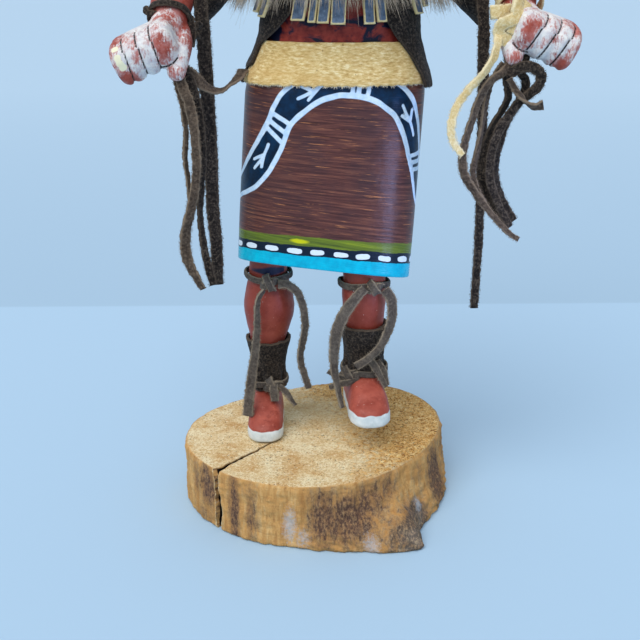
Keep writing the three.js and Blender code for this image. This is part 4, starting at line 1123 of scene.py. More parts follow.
def arm_material():
    def base(p):
        red = p.ramp(p.noise(5, 3), (0.35, (142, 58, 46)), (0.65, (176, 84, 68)))
        fine = p.noise(1.1, 5, 0.75, p.stretched((1.7, 0.8, 0.5)), 0.3)
        white = p.attribute("white")
        blotch = (p.noise(3.2, 4, 0.7) + fine) * 0.5
        cover = p.step(white * 0.42 + blotch, 0.67, 0.79) * p.step(white, 0.05, 0.2)
        thin = p.step(white * 0.4 + p.noise(3, 3), 0.54, 0.78)
        pink = p.mix(thin * 0.5, red, (206, 148, 142))
        pale = p.ramp(p.noise(2), (0.3, (202, 196, 200)), (0.7, (238, 234, 226)))
        base = p.mix(cover, pink, pale)
        base = p.mix(p.step(p.attribute("cream"), 0.25, -0.05), base, (236, 230, 196))
        return p.mix(p.step(p.attribute("groove"), 0.42, 0.2), base, (30, 12, 10))

    return painted_wood("arm_paint", base, 0.45)


# ---------- suede worn on the body ----------
BELT = {"bottom": 171, "top": 186.5, "offset": 0.9}
CHEST_TOP = 216  # where the vest and the tabs end, under the ruff


def cloth(name, grid, hairs, material, wrap=False, pale=0.6):
    """A sheet of brown suede over a grid, with fibres; its cut edges are pale by this share."""
    skin = shell(grid, np.full(grid.shape[:2], LEATHER), wrap)
    points, faces, cut = joined([(*skin, rim(grid.shape[:2], wrap) * pale), *hairs])
    return piece(name + "_suede", points, faces, material, "brown_suede", [name], cut=cut)


def fringe(row, next_row, count, reach, seed):
    """Fibres that stand out from the edge of a grid, away from the row beside it."""
    return bristles(row, unit(row - next_row), np.gradient(row, axis=0), count, reach, seed)


def belt():
    turns, place = even_turns(178, 260)
    low = BELT["bottom"] + 0.45 * rough(on_line(place, 5), 1.1, 6, 2)
    top = BELT["top"] - 0.5 + 0.25 * noise(on_line(place), 9, 2)
    z = low + (top - low) * np.linspace(0, 1, 26)[:, None]
    grid = on_body(z, np.broadcast_to(turns, z.shape), BELT["offset"])
    out = grid_normals(grid, True)
    grid = grid + out * (0.14 * rough(grid, 5, 9, 3))[..., None]
    thick = np.full(z.shape, LEATHER)
    thick[:2] *= 0.7
    way = np.roll(grid[0], -1, axis=0) - grid[0]
    down = out[0] * 0.25 + (0, 0, -0.8)
    hairs = bristles(grid[0] + (0, 0, 0.3), down, way, 2600, 1.0, 8)
    points, faces, frayed = joined([shell(grid, thick, True), (*hairs, np.ones(len(hairs[0])))])
    obj = piece("belt_band", points, faces, belt_material(), "pale_suede", ["belt"],
                frayed=frayed)


def belt_material():
    p = Paint("belt_suede")
    fibres = p.noise(0.7, 5, 0.75, p.stretched((0.3, 0.3, 1)))
    base = p.ramp(fibres, (0.34, (184, 144, 82)), (0.5, (222, 188, 122)), (0.64, (246, 226, 174)))
    base = p.mix(p.step(p.noise(9, 3), 0.4, 0.64) * 0.4, base, (204, 164, 98))
    base = p.mix(p.step(p.noise(1.7, 2, 0.5), 0.72, 0.76) * 0.6, base, (130, 92, 50))
    base = p.mix(p.attribute("frayed") * 0.8, base, (238, 232, 214))
    normal = p.bump(fibres, 0.22, p.bump(p.noise(1.0, 3), 0.12))
    return p.done(base, 0.9, normal, Specular_IOR_Level=0.15, Sheen_Weight=0.1)


# The vest's front edges: height, and how far each is from the opening's middle.
VEST_LEFT_EDGE = np.array([(166, 33.6), (174, 31), (182, 26), (188, 20.8), (194, 16.8),
                           (205, 14.8), (216, 14)])
VEST_RIGHT_EDGE = np.array([(166, 46), (172.4, 40), (178, 31.6), (185, 28.6), (190.4, 22),
                            (195.5, 17.4), (205, 14.8), (216, 14)])
VEST = {"bottom": 169.5, "top": CHEST_TOP, "offset": 2.5}
RAGGED = 6  # how far up from its hem the vest is uneven
PAST_SIDE = 104  # degrees round to where the vest's tails lie, past the body's side


def turn_at(z, edge, side):
    """The turn round the body of the vest's edge at height z. Past the side of the body the
    turn stays a little behind it."""
    x = np.interp(z, edge[:, 0], edge[:, 1])
    turns = np.radians(np.linspace(0, PAST_SIDE, 300)) * side
    reach = (on_body(np.full(turns.shape, z), turns, VEST["offset"])[:, 0] - CHEST_X + 1.3) * side
    inside = reach[: int(np.argmax(reach)) + 1]
    if x >= inside[-1]:
        return math.radians(PAST_SIDE) * side
    return float(np.interp(x, inside, turns[: len(inside)] * side)) * side


def vest(material):
    rows = np.linspace(VEST["bottom"], VEST["top"], 62)
    grid = []
    for z in rows:
        turns = np.linspace(turn_at(z, VEST_LEFT_EDGE, 1),
                            turn_at(z, VEST_RIGHT_EDGE, -1) + 2 * np.pi, 200)
        grid.append(on_body(np.full(turns.shape, z), turns, VEST["offset"]))
    grid = np.stack(grid)
    hem = grid[0] * (1, 1, 0)
    ragged = 0.5 * noise(hem, 2.2, 4) + 0.7 * noise(hem, 9, 5)
    grid[..., 2] += ragged * np.clip(1 - (rows - rows[0]) / RAGGED, 0, 1)[:, None]
    out = grid_normals(grid)
    folds = 0.35 * noise(grid * (1, 1, 0.25), 7, 14) + 0.15 * rough(grid, 2.5, 15, 2)
    grid = grid + out * folds[..., None]
    nap = bristles(grid.reshape(-1, 3), out.reshape(-1, 3),
                   (np.roll(grid, 1, 1) - grid).reshape(-1, 3), 5000, 1.0, 75)
    edges = ((grid[:, 0], grid[:, 1], 420), (grid[:, -1], grid[:, -2], 430),
             (grid[0], grid[1], 1300))
    hairs = [fringe(row, beside, count, 0.6, 70 + count) for row, beside, count in edges]
    obj = cloth("vest", grid, [*hairs, nap], material)
    area = float(np.linalg.norm(np.cross(grid[1:, 1:] - grid[:-1, :-1],
                                         grid[1:, :-1] - grid[:-1, 1:]), axis=-1).sum() / 2)


SLEEVE = np.array([  # outwards from the chest, y, z, half width, half height
    (36, 9, 220.5, 10.7, 14), (44, 10.5, 214.2, 11, 15.2), (52, 11.4, 208.5, 11.6, 16),
])


def sleeves(material):
    turn = full_turn(120)
    c, s = np.cos(turn), np.sin(turn)
    reach = squared_off(c, s, 2.3)
    half = LEATHER / 2
    for side, name in ((-1, "right_sleeve"), (1, "left_sleeve")):
        rings = []
        for x, y, z, w, h in curve_through(SLEEVE, 24):
            low = np.clip(-s, 0, 1) ** 2 * (x - SLEEVE[0, 0]) * 0.12
            rings.append(np.stack([np.full(turn.shape, x), y + (w - half) * c * reach,
                                   z + (h - half) * s * reach - low], axis=1))
        grid = np.stack(rings)
        hem = noise(on_line(turn * 6), 1.0, 5) * 0.8
        grid[..., 0] += np.linspace(0, 1, len(grid))[:, None] ** 4 * hem
        grid[..., 0] = CHEST_X + side * grid[..., 0]
        if side > 0:
            grid = grid[:, ::-1]
        out = grid_normals(grid, True)
        folds = 0.5 * noise(grid, 6, 24) + 0.15 * rough(grid, 2, 25, 2)
        grid = grid - out * folds[..., None]
        hairs = bristles(grid[-1], unit(grid[-1] - grid[-2]), np.roll(grid[-1], 1, 0) - grid[-1],
                         900, 0.7, 80)
        obj = cloth(name, grid, [hairs], material, True)


TABS = {"offset": 4.0, "top": CHEST_TOP, "thick": 1.1, "flare": 1.6}
TAB_PLACES = [  # turn round the body, lean, width, height of the lower end
    (-62, -9, 4.4, 196), (-51, -8, 4, 194.5), (-25.5, -2, 5.2, 193.6), (-17.5, -1, 2.8, 193),
    (-10.5, -1, 4.2, 192.8), (-2, 0, 5.2, 192.4), (16.5, 1, 4, 192.5), (23.5, 2, 3.6, 193.2),
    (49, 8, 4.6, 195.6), (61, 9, 4.2, 198),
]


def tab(turn, lean, width, end):
    """One leather tab: its grid, and how far each point is from its painted edge."""
    across = np.linspace(-1, 1, 15)
    grid, edge = [], []
    for t in np.linspace(0, 1, 30):
        z = end + (TABS["top"] - end) * t
        here = math.radians(turn + lean * (1 - t))
        centre = on_body(z, here, TABS["offset"] + TABS["flare"] * (1 - t) ** 3)
        side = np.cross(unit(centre - on_body(z, here)), (0, 0, 1.0))
        grid.append(centre + across[:, None] * side * width / 2)
        edge.append(np.minimum(width / 2 * (1 - np.abs(across)), (TABS["top"] - end) * t))
    return np.stack(grid), np.stack(edge)


def tab_collar():
    parts = []
    for place in TAB_PLACES:
        grid, edge = tab(*place)
        skin = shell(grid[:, ::-1], np.full(edge.shape, TABS["thick"]))
        parts.append((*skin, np.tile(edge[:, ::-1].ravel(), 2)))
    turns = np.radians(np.linspace(-72, 72, 90))
    z = np.linspace(211.8, TABS["top"], 8)[:, None]
    strap = on_body(z, np.broadcast_to(turns, (8, 90)), TABS["offset"] + 0.4)
    skin = shell(strap, np.full(strap.shape[:2], 1.3))
    parts.append((*skin, np.full(len(skin[0]), 3.0)))
    points, faces, edge = joined(parts)
    piece("tab_collar_leather", points, faces, tab_material(), "painted_leather",
          ["tab_collar"], edge=edge)


def tab_material():
    p = Paint("painted_tabs")
    slate = p.ramp(p.noise(1.8, 4, 0.65), (0.3, (62, 78, 98)), (0.55, (92, 112, 134)),
                   (0.75, (124, 142, 160)))
    slate = p.mix(p.step(p.noise(0.6, 2), 0.66, 0.76), slate, (150, 164, 176))
    cream = p.ramp(p.noise(1.2), (0.3, (222, 190, 120)), (0.7, (244, 224, 168)))
    edge = p.attribute("edge") + (p.noise(2.2) - 0.5) * 0.35
    base = p.mix(p.step(edge, 0.52, 0.4), slate, cream)
    return p.done(base, 0.5, p.bump(p.noise(0.7, 3), 0.12))


LAP = 12  # degrees that each end of a cuff runs past its seam
# Cuffs: middle x, then height, middle y and radius of each row, from the foot up; the seam.
CUFFS = {
    "right_cuff": (-18.9, [(43, 10.3, 7.1), (48, 10.3, 6.9), (56, 10.5, 7.2),
                           (65.5, 10.4, 9.3)], 150),
    "left_cuff": (21.5, [(52.5, 0.2, 8.3), (58, 0.2, 8.2), (66, -0.1, 8.4),
                         (76, -1.2, 9.8)], 52),
}


def cuffs(material):
    for seed, (name, (x, rows, seam)) in enumerate(CUFFS.items()):
        path = evenly(curve_through(rows, 10), 0.6)
        turn = np.radians(np.linspace(seam - LAP, seam + 360 + LAP, 130))
        levels = np.linspace(0, 1, len(path))[:, None]
        hem = 0.5 * noise(on_line(turn * 4), 1, 30 + seed)
        r = path[:, 2:] - LEATHER / 2 + np.linspace(-0.55, 0.75, 130)
        grid = np.stack([x + r * np.sin(turn), path[:, 1:2] - r * np.cos(turn),
                         path[:, :1] + hem * (2 * levels - 1)], axis=-1)
        out = grid_normals(grid)
        crease = 0.55 * np.exp(-(((levels - 0.22) / 0.2) ** 2)) * np.sin(turn * 9 + 4 * levels)
        folds = crease + 0.3 * noise(grid * (1, 1, 0.4), 4, 33 + seed) + 0.12 * rough(grid, 1.5, 2)
        grid = grid + out * folds[..., None]
        hairs = [fringe(grid[end], grid[by], 420, 0.5, 85 + seed) for end, by in ((0, 1), (-1, -2))]
        obj = cloth(name, grid, hairs, material, pale=1.0)
        high = rows[-1][0] - rows[0][0]
        high * MM


# Ties round the limbs: the ring's middle, the line it goes round, its inner radius, and the
# place and size of its knot.
SHIN = (0, 0, 1)
TIES = {
    "right_knee_tie": ((-18, 9.9, 93.8), (0, -0.07, 1), 8.8, (-17.2, -0.3, 92.4), (3, 1.8, 3)),
    "left_knee_tie": ((20.8, -1.2, 93.2), (0, 0.1, 1), 9.4, (24.2, -11.2, 94), (3, 1.9, 2.2)),
    "right_ankle_tie": ((-18.9, 10.3, 46.4), SHIN, 7.5, (-16.6, 1.5, 46.6), (3.2, 2, 2.6)),
    "left_ankle_tie": ((21.5, 0.2, 56), SHIN, 8.7, (14.6, -7.9, 56), (3, 2, 2.4)),
    "right_wrist_tie": ((-50.5, -8.2, 194.2), (-1, -7.2, -6.4), 7, (-42, -7.4, 190.9),
                        (2.2, 2.2, 3.4)),
    "left_wrist_knot": ((74.1, -8.3, 199.4), (1, -7.2, -6.4), 7.4, (65.2, -20.6, 196.6),
                        (4.4, 4, 5)),
}

# Short ends and loops on the ties: their widths, turns in degrees, and the line each follows.
LOOSE_ENDS = {
    "right_ankle_tie": (
        ((3.2, 3.6, 3.2), (10, -15), [(-16.2, 0.6, 48.6), (-16, -1.4, 46.4), (-15.6, -2.6, 41.4)]),
        ((2, 2.4, 1.4), (0, 50), [(-14.6, 1.2, 47), (-10.4, -0.8, 44), (-7.2, -2.8, 39.4)]),
        ((1.8, 2, 1.2), (30, 0), [(-15, 1, 47.6), (-12, 0.2, 45.4), (-9.2, -0.8, 41)]),
    ),
    "left_ankle_tie": (
        ((3, 3.4, 2.2), (0, 30), [(19, -9, 56), (12.4, -9.6, 55), (6.4, -9.4, 57.8)]),
        ((2.6, 3, 2), (20, -20), [(18.6, -9, 54), (12.6, -10.4, 53), (7, -10, 51)]),
        ((2.8, 3, 1.8), (0, 20), [(22, -9, 64.6), (26, -10.4, 59), (29.8, -11.8, 52)]),
        ((2.2, 2.4, 1.6), (10, -10), [(26.6, -8, 62), (29.4, -8.4, 56.6), (30.6, -9, 51.6)]),
    ),
    "right_wrist_tie": (
        ((2.4, 2.2, 1.8), (0, 30), [(-54, -13, 195.6), (-57.6, -11.4, 196.2), (-58.6, -10, 198.2)]),
        ((2.6, 2.6, 1.8), (0, -20), [(-43.6, -9, 193.6), (-42.2, -9.6, 189), (-43, -11, 184.6)]),
    ),
    "left_wrist_knot": (
        ((4.2, 4.6, 4.4), (10, -10), [(70, -19.6, 197.2), (66, -21.6, 197), (61.6, -22, 196.6)]),
        ((4.6, 4.8, 4.4, 4), (0, 40, 0), [(72.4, -13, 202.6), (71.6, -19.6, 202),
                                          (70.6, -23, 198), (70.4, -23.6, 193.6),
                                          (69, -23.4, 189.6)]),
        ((4, 4.4, 4), (0, 0), [(74.6, -17.4, 199.4), (72.6, -22.4, 195.8), (68.8, -24.4, 194.4),
                               (65.4, -23.4, 192.6), (65, -22.6, 189.6), (67.4, -22.8, 187.6),
                               (70.4, -22.8, 189.6), (71.2, -21.6, 192.6)]),
    ),
}


def knot(at, size, seed):
    """A half hitch: one strip over another, crossing, with the turns pulled tight."""
    w, d, h = size
    over = [(-0.5, 0.5, 1), (-0.35, -0.7, 0.75), (0, -1, 0), (0.35, -0.7, -0.75), (0.4, 0.5, -1)]
    under = [(1.05, 0.5, 0.1), (0.7, -0.45, 0.35), (0, -0.62, 0.1), (-0.7, -0.45, -0.3),
             (-1.05, 0.5, -0.2)]
    parts = []
    for k, route in enumerate((over, under)):
        line = evenly(curve_through(np.array(route) * (w, d, h) + at), 0.4)
        parts.append(strip(line, (min(w, 3.2),) * 2, LEATHER, (0, 0), seed + k))
    return parts


def ties(materials):
    turn = full_turn(110)[:, None]
    for seed, (name, (at, axis, radius, knot_at, size)) in enumerate(TIES.items()):
        axis = unit(np.array(axis, float))
        side = unit(np.cross(axis, (0.3, 1.0, 0.1)))
        over = np.cross(axis, side)
        arm = (radius + LEATHER / 2) * (np.cos(turn) * side + np.sin(turn) * over)
        arm = arm + 0.35 * np.sin(turn * 3 + seed) * axis
        pale = name == "left_wrist_knot"
        parts = [ring_strip(arm + at, unit(arm), axis, 4 if pale else 2.6, seed)]
        if not pale:
            parts += knot(knot_at, size, seed + 3)
        for k, (width, turns, route) in enumerate(LOOSE_ENDS.get(name, ())):
            line = evenly(curve_through(route), 0.45)
            parts.append(strip(line, width, 2 if pale else LEATHER, turns, 60 + 5 * seed + k))
        look = "pale_suede" if pale else "dark_suede" if "wrist" in name else "grey_suede"
        kind = "pale_suede" if pale else "brown_suede"
        points, faces, cut = joined(parts)
        piece(name + "_suede", points, faces, materials[look], kind, [name], cut=cut)


def ring_strip(ring, outward, axis, wide, seed):
    """A closed band of suede round a limb."""
    corner = full_turn(12)
    deep = LEATHER / 2 * bulged(np.cos(corner), 0.6)
    high = wide / 2 * bulged(np.sin(corner), 0.6)
    rows = ring[:, None] + outward[:, None] * deep[:, None] + axis * high[:, None]
    rows = rows + rough(rows, 0.9, seed, 2)[..., None] * outward[:, None] * 0.12
    way = np.roll(ring, -1, axis=0) - ring
    spread = np.broadcast_to(axis, ring.shape)
    hairs = bristles(np.concatenate([ring + axis * wide / 2, ring - axis * wide / 2]),
                     np.concatenate([spread, -spread]), np.concatenate([way, way]), 420, 0.45,
                     seed)
    cut = np.tile(np.abs(np.sin(corner)) ** 3, len(ring))
    return joined([(*looped(rows), cut), hairs])


# ---------- fur and feathers ----------
RUFF = np.array([  # height, and how far it stands out from the body
    (206, 9), (211, 12.5), (222, 14), (234, 13), (243, 13), (247, 9),
])
RUFF_LOW, RUFF_TOP = 205, 247
HAIR_END_Z = 199  # only a stray hair hangs lower


def ruff_point(z, turn, sink):
    """A point of the ruff's surface, sunk inwards."""
    grow = np.interp(z, RUFF[:, 0], RUFF[:, 1]) - sink
    level = np.minimum(z, NECK_Z)
    shift, w, d, _ = body_section(level)
    c, s = np.sin(turn), -np.cos(turn)
    reach = squared_off(c, s, 2.2)
    x, y = np.minimum(w + grow, 39) * c * reach, np.minimum(d + grow, 31) * s * reach
    middle = HEM_X + (level - HEM_Z) * LEAN + shift
    return np.stack([middle + x, BODY_Y + y, z], axis=-1)


def strands(roots, ways, lengths, width, droop, seed):
    """Hairs as thin blades that bend downwards: points, faces, and 0 at a root to 1 at a tip."""
    local = np.random.default_rng(seed)
    count = len(roots)
    side = unit(np.cross(ways, local.normal(size=(count, 3))))
    steps = np.linspace(0, 1, 5)
    rows = []
    for t in steps:
        centre = roots + (ways * t + np.array((0, 0, -droop * t**2))) * lengths[:, None]
        half = side * width * (1 - 0.85 * t) / 2
        rows += [centre - half, centre + half]
    points = np.stack(rows, axis=1).reshape(-1, 3)
    base = np.arange(count)[:, None] * len(rows)
    faces = np.concatenate([base + [2 * k, 2 * k + 1, 2 * k + 3, 2 * k + 2]
                            for k in range(len(steps) - 1)])
    return points, faces.tolist(), np.tile(np.repeat(steps, 2), count)


def fur():
    """A closed skin that goes up outside and down inside, and hairs that hang over it."""
    local = np.random.default_rng(5)
    turn = full_turn(140)
    outside = [(z, 1) for z in np.linspace(RUFF_LOW, RUFF_TOP, 26)]
    inside = [(z, 7) for z in np.linspace(RUFF_TOP - 1, RUFF_LOW + 2, 10)]
    skin = looped(np.stack([ruff_point(np.full(turn.shape, z), turn, sink)
                            for z, sink in outside + inside]))
    count = 17000
    height = RUFF_TOP - (RUFF_TOP - RUFF_LOW) * local.random(count) ** 0.85
    around = local.random(count) * 2 * np.pi
    roots = ruff_point(height, around, 1.2)
    out = unit(roots - ruff_point(height, around, 4))
    clump = np.stack([noise(roots, 5, seed) for seed in (1, 2, 3)], 1)
    ways = unit(out * 0.55 + (0, 0, -0.75) + clump * 0.35 + local.normal(size=(count, 3)) * 0.12)
    lengths = local.uniform(6, 11.5, count)
    stray = local.random(count) < 0.07
    room = np.maximum((height - HAIR_END_Z) / 0.75, 3.5)
    lengths = np.where(stray, lengths * 1.25, np.minimum(lengths, room))
    hairs = strands(roots, ways, lengths, 0.22, 0.22, 6)
    points, faces, tip = joined([skin, hairs])
    shade = np.concatenate([np.zeros(len(skin[0])), np.repeat(local.random(count), 10)])
    piece("fur_collar", points, faces, fur_material(), "fur", ["fur_ruff"], tip=tip, shade=shade)


def fur_material():
    p = Paint("fox_fur")
    # darkest at the roots and on the skin under the hairs, pale along them, darker again at the
    # tips
    base = p.ramp(p.attribute("tip"), (0.0, (84, 66, 52)), (0.4, (156, 132, 108)),
                  (0.75, (214, 196, 170)), (1.0, (120, 96, 76)))
    base = p.mix(p.step(p.noise(9, 3), 0.46, 0.6) * 0.5, base, (104, 80, 62))
    base = p.mix(p.attribute("shade") * 0.35, base, (232, 220, 200))
    return p.done(base, 0.7, None, Sheen_Weight=0.2, Specular_IOR_Level=0.3)


FEATHERS = [(-3.2, -26, 24), (0, 0, 27), (3.2, 26, 24)]  # x, lean in degrees, height
CREST_Y = BODY_Y + 3.4
BARBS = 900  # on each feather


def feathers():
    """Three soft feathers tied at the crown: a shaft with fine barbs either side."""
    parts = []
    for seed, (x, lean, tall) in enumerate(FEATHERS):
        a = math.radians(lean)
        up = np.array([math.sin(a), 0, math.cos(a)])
        out = np.array([math.cos(a), 0, -math.sin(a)])
        quill = np.array([HEAD_X + x, CREST_Y + 0.4 * seed, 293.5])
        line = evenly(np.stack([quill, quill + up * tall * 0.96]), 0.8)
        parts.append(tube(limb(np.column_stack([line, np.linspace(0.45, 0.12, len(line))]), 8, 1)))
        local = np.random.default_rng(40 + seed)
        t = local.random(BARBS) ** 0.8
        side = np.where(local.random(BARBS) < 0.5, -1, 1)[:, None]
        roots = quill + up * (tall * (0.1 + 0.86 * t))[:, None]
        ways = unit(side * out * 0.75 + up * 0.7 + local.normal(size=(BARBS, 3)) * 0.13)
        lengths = 4.4 * np.sin(np.pi * np.clip(0.15 + 0.8 * t, 0, 1)) + 0.8
        parts.append(strands(roots, ways, lengths, 0.3, 0.0, 50))
    wrap = [(HEAD_X, CREST_Y, z, r) for z, r in ((291.6, 4.8), (293.4, 5.2), (295, 3.6))]
    skin = tube(limb(wrap, 40, 6))
    parts.append((*skin, np.full(len(skin[0]), -1.0)))
    points, faces, tip = joined(parts)
    piece("crest_feathers", points, faces, feather_material(), "feather", ["feather_crest"],
          tip=tip)


def feather_material():
    p = Paint("feather")
    base = p.ramp(p.noise(6, 2), (0.35, (70, 62, 58)), (0.65, (178, 164, 148)))
    base = p.mix(p.step(p.attribute("tip"), -0.4, -0.6), base, (120, 52, 40))
    return p.done(base, 0.7, None, Sheen_Weight=0.2)


# ---------- the slice of log ----------
BASE_RADIUS = 50.8
LOBES = ((1, 2.1, 20), (2, 5.3, 58), (3, 2.1, 140))  # ripples of the outline: waves, mm, turn
ROOT = np.array([(-98, 0), (-74, 5.5), (-58, 14.5), (-49, 18.5), (-42, 9.5), (-34, 7), (-4, 4.6),
                 (24, 0)])
LOG_TOP, LOG_EDGE = 26.75, 25.4  # the sawn top, and where its rim begins to round over
FLARE_HEIGHT = 12.5  # how far up the root spreads from the side
GNARL = 2.3  # from one ripple of the root's grain to the next
# Dark stains on the side: turn in degrees, height, spread each way, strength.
STAINS = [
    (-127, 13, 2.8, 18, 0.9), (-118, 12, 3, 15, 0.6), (-143, 17, 5, 9, 0.9), (-152, 17, 3, 9, 0.6),
    (-146, 3, 9, 4, 0.5), (-85, 14, 7, 12, 0.85), (-73, 13, 11, 10, 0.9), (-62, 18, 9, 8, 0.7),
    (-52, 21, 6, 6, 0.6), (-46, 5, 15, 7, 0.9), (-14, 12, 8, 12, 1.0), (-30, 20, 5, 5, 0.4),
    (4, 18, 6, 8, 0.5), (22, 8, 13, 6, 0.8), (33, 19, 6, 8, 0.6), (61, 20, 15, 4, 0.7),
    (72, 8, 4, 12, 0.9), (96, 4, 12, 4, 0.6), (112, 19, 5, 13, 0.8), (121, 12, 4, 14, 0.9),
    (146, 22, 12, 4, 0.7), (163, 7, 11, 6, 0.8), (176, 16, 4, 12, 0.7), (-44, 4, 11, 7, 1.4),
]
CHALK = [
    (-100, 10, 3.4, 8, 1), (-94, 5, 4, 5, 0.8), (-66, 3, 3.4, 5, 0.9), (-36, 9, 3, 3, 1),
    (64, 8, 4, 5, 0.7), (140, 6, 4, 5, 0.7),
]
ROOT_GREY = (-46, 3, 14, 8, 1.2)  # the root is grey instead of brown


def blots(places, degrees, z):
    total = np.zeros(degrees.shape)
    for turn, height, wide, tall, strength in places:
        off = (degrees - turn + 180) % 360 - 180
        total = np.maximum(total, strength * np.exp(-((off / wide) ** 2) * 0.7
                                                    - ((z - height) / tall) ** 2 * 0.7))
    return total


def rim_radius(turn):
    r = BASE_RADIUS
    for waves, height, offset in LOBES:
        r = r + height * np.cos(waves * turn - math.radians(offset))
    return r


def log_slice():
    """Points and faces of the slice, and its values for the material."""
    turn = np.linspace(-np.pi, np.pi, 440, endpoint=False)
    edge = rim_radius(turn)
    root = smoothed(np.interp(np.degrees(turn), ROOT[:, 0], ROOT[:, 1]), 3)
    round_way = np.stack([np.cos(turn), np.sin(turn), turn * 0], 1)
    rows, arcs = [], []
    for z in np.concatenate([[0, 0.5, 1.1], np.linspace(1.7, 25.6, 42), [26.1, 26.5]]):
        inset = 0.35 * max(0, z - LOG_EDGE) + 1.2 * max(0, 1 - z / 1.2) ** 2
        flare = root * math.exp(-((z / FLARE_HEIGHT) ** 2))
        r = edge + flare - inset
        spot = round_way * r[:, None] + (0, 0, z)
        ribs = 0.5 * noise(spot * (1, 1, 0.1), 3.4, 2) + 0.3 * noise(spot * (1, 1, 0.16), 1.3, 3)
        lumps = 0.55 * rough(spot, 9, 4, 2)
        gnarls = np.sin((r + 0.9 * z + 1.2 * noise(spot, 6, 8)) * 2 * np.pi / GNARL)
        torn = 0.3 * rough(spot, 1.6, 6, 2) + 0.4 * gnarls * np.clip(flare / 5, 0, 1)
        r = r + (ribs + lumps + torn) * min(1, 1 - max(0, z - 25) / 3)
        rows.append(round_way * r[:, None] + (0, 0, z))
        arcs.append(0.5 + 0.5 * gnarls)
    arcs = np.concatenate(arcs)
    for share in np.linspace(0.985, 0.02, 84):
        spot = round_way * ((edge - 0.35) * share)[:, None] + (0, 0, LOG_TOP)
        fibre = 0.16 * rough(spot, 1.3, 8, 2) + 0.1 * noise(spot, 0.7, 12)
        spot[:, 2] += fibre * (0.3 + 2.2 * torn_share(spot)) + 0.12 * noise(spot, 14, 9)
        rows.append(spot)
    points, faces = tube(np.stack(rows))
    x, y, z = points.T
    where = np.degrees(np.arctan2(y, x))
    side = (np.arange(len(points)) < len(arcs)).astype(float)
    values = {
        "side": side,
        "stain": blots(STAINS, where, z) * side,
        "chalk": blots(CHALK, where, z) * side,
        "grey": blots([ROOT_GREY], where, z) * side,
        "arcs": np.concatenate([arcs, np.zeros(len(points) - len(arcs))]),
        "torn": torn_share(points) * (1 - side),
        "shaded": np.exp(-(((x - 4) / 24) ** 2) - ((y - 20) / 15) ** 2) * (1 - side),
        # set to 1 in log_base for the split's inside, which is painted near black as painted shade
        "inside": np.zeros(len(points)),
    }
    return points, faces, values


def torn_share(points):
    """How rough the sawn top is: the saw tore its fibres on the figure's left."""
    x, y = points[:, 0], points[:, 1]
    flat = points * (1, 1, 0)
    return np.clip((0.9 * x + 0.35 * y + 7 * noise(flat, 16, 5) + 2) / 30, 0, 1)


CRACK = {"turn": math.radians(-136.7), "heading": math.radians(48), "length": 36,
         "mouth": 2.7, "tip": 0.9}


def crack_blade():
    """A ragged wedge the shape of the drying split, to cut out of the log."""
    turn, heading = CRACK["turn"], CRACK["heading"]
    mouth = float(rim_radius(turn)) * np.array([math.cos(turn), math.sin(turn), 0])
    inwards = np.array([math.cos(heading), math.sin(heading), 0])
    across = np.array([-inwards[1], inwards[0], 0])
    along = np.linspace(-7, CRACK["length"], 80)
    levels = np.linspace(-2, 30, 44)
    half = np.interp(along, [0, CRACK["length"]], [CRACK["mouth"] / 2, CRACK["tip"] / 2])
    half = half[:, None] * (1 + 0.3 * np.sin(levels / 5))
    chipped = np.exp(-(((levels - 27) / 4) ** 2)) * np.clip(1 - along / 4, 0, 1)[:, None]
    spot = mouth + along[:, None, None] * inwards + levels[:, None] * (0, 0, 1.0)
    bend = 0.8 * noise(spot, 9, 7) + 0.5 * noise(spot, 2.6, 7)
    sides = []
    for sign, seed, chip in ((-1, 1, 0.4), (1, 2, 1.6)):
        own = 0.2 * noise(spot, 1.2, seed) + 0.16 * noise(spot, 3, seed)
        off = bend + sign * (half + chipped * chip) + own
        sides.append((spot + across * off[..., None]).transpose(1, 0, 2))
    return tube(np.concatenate([sides[0], sides[1][:, ::-1]], 1))


def log_base():
    points, faces, values = log_slice()
    obj = piece("log_slice", points, faces, log_material(), "log", ["base"], **values)
    blade = link(bpy.data.objects.new("blade", mesh_of("blade", *crack_blade())))
    cut = obj.modifiers.new("crack", "BOOLEAN")
    cut.operation = "DIFFERENCE"
    cut.solver = "EXACT"
    cut.object = blade
    obj.data, points = with_modifiers(obj)
    obj.modifiers.clear()
    bpy.data.objects.remove(blade)
    x, y, z = points.T
    # points deep in the split are painted near black: painted shade where light doesn't reach into
    # it
    deep = rim_radius(np.arctan2(y, x)) - np.hypot(x, y)
    inside = (deep > 1.8) & (z > 0.3) & (z < LOG_TOP - 0.75)
    obj.data.attributes["inside"].data.foreach_set("value", inside.astype(np.float32))


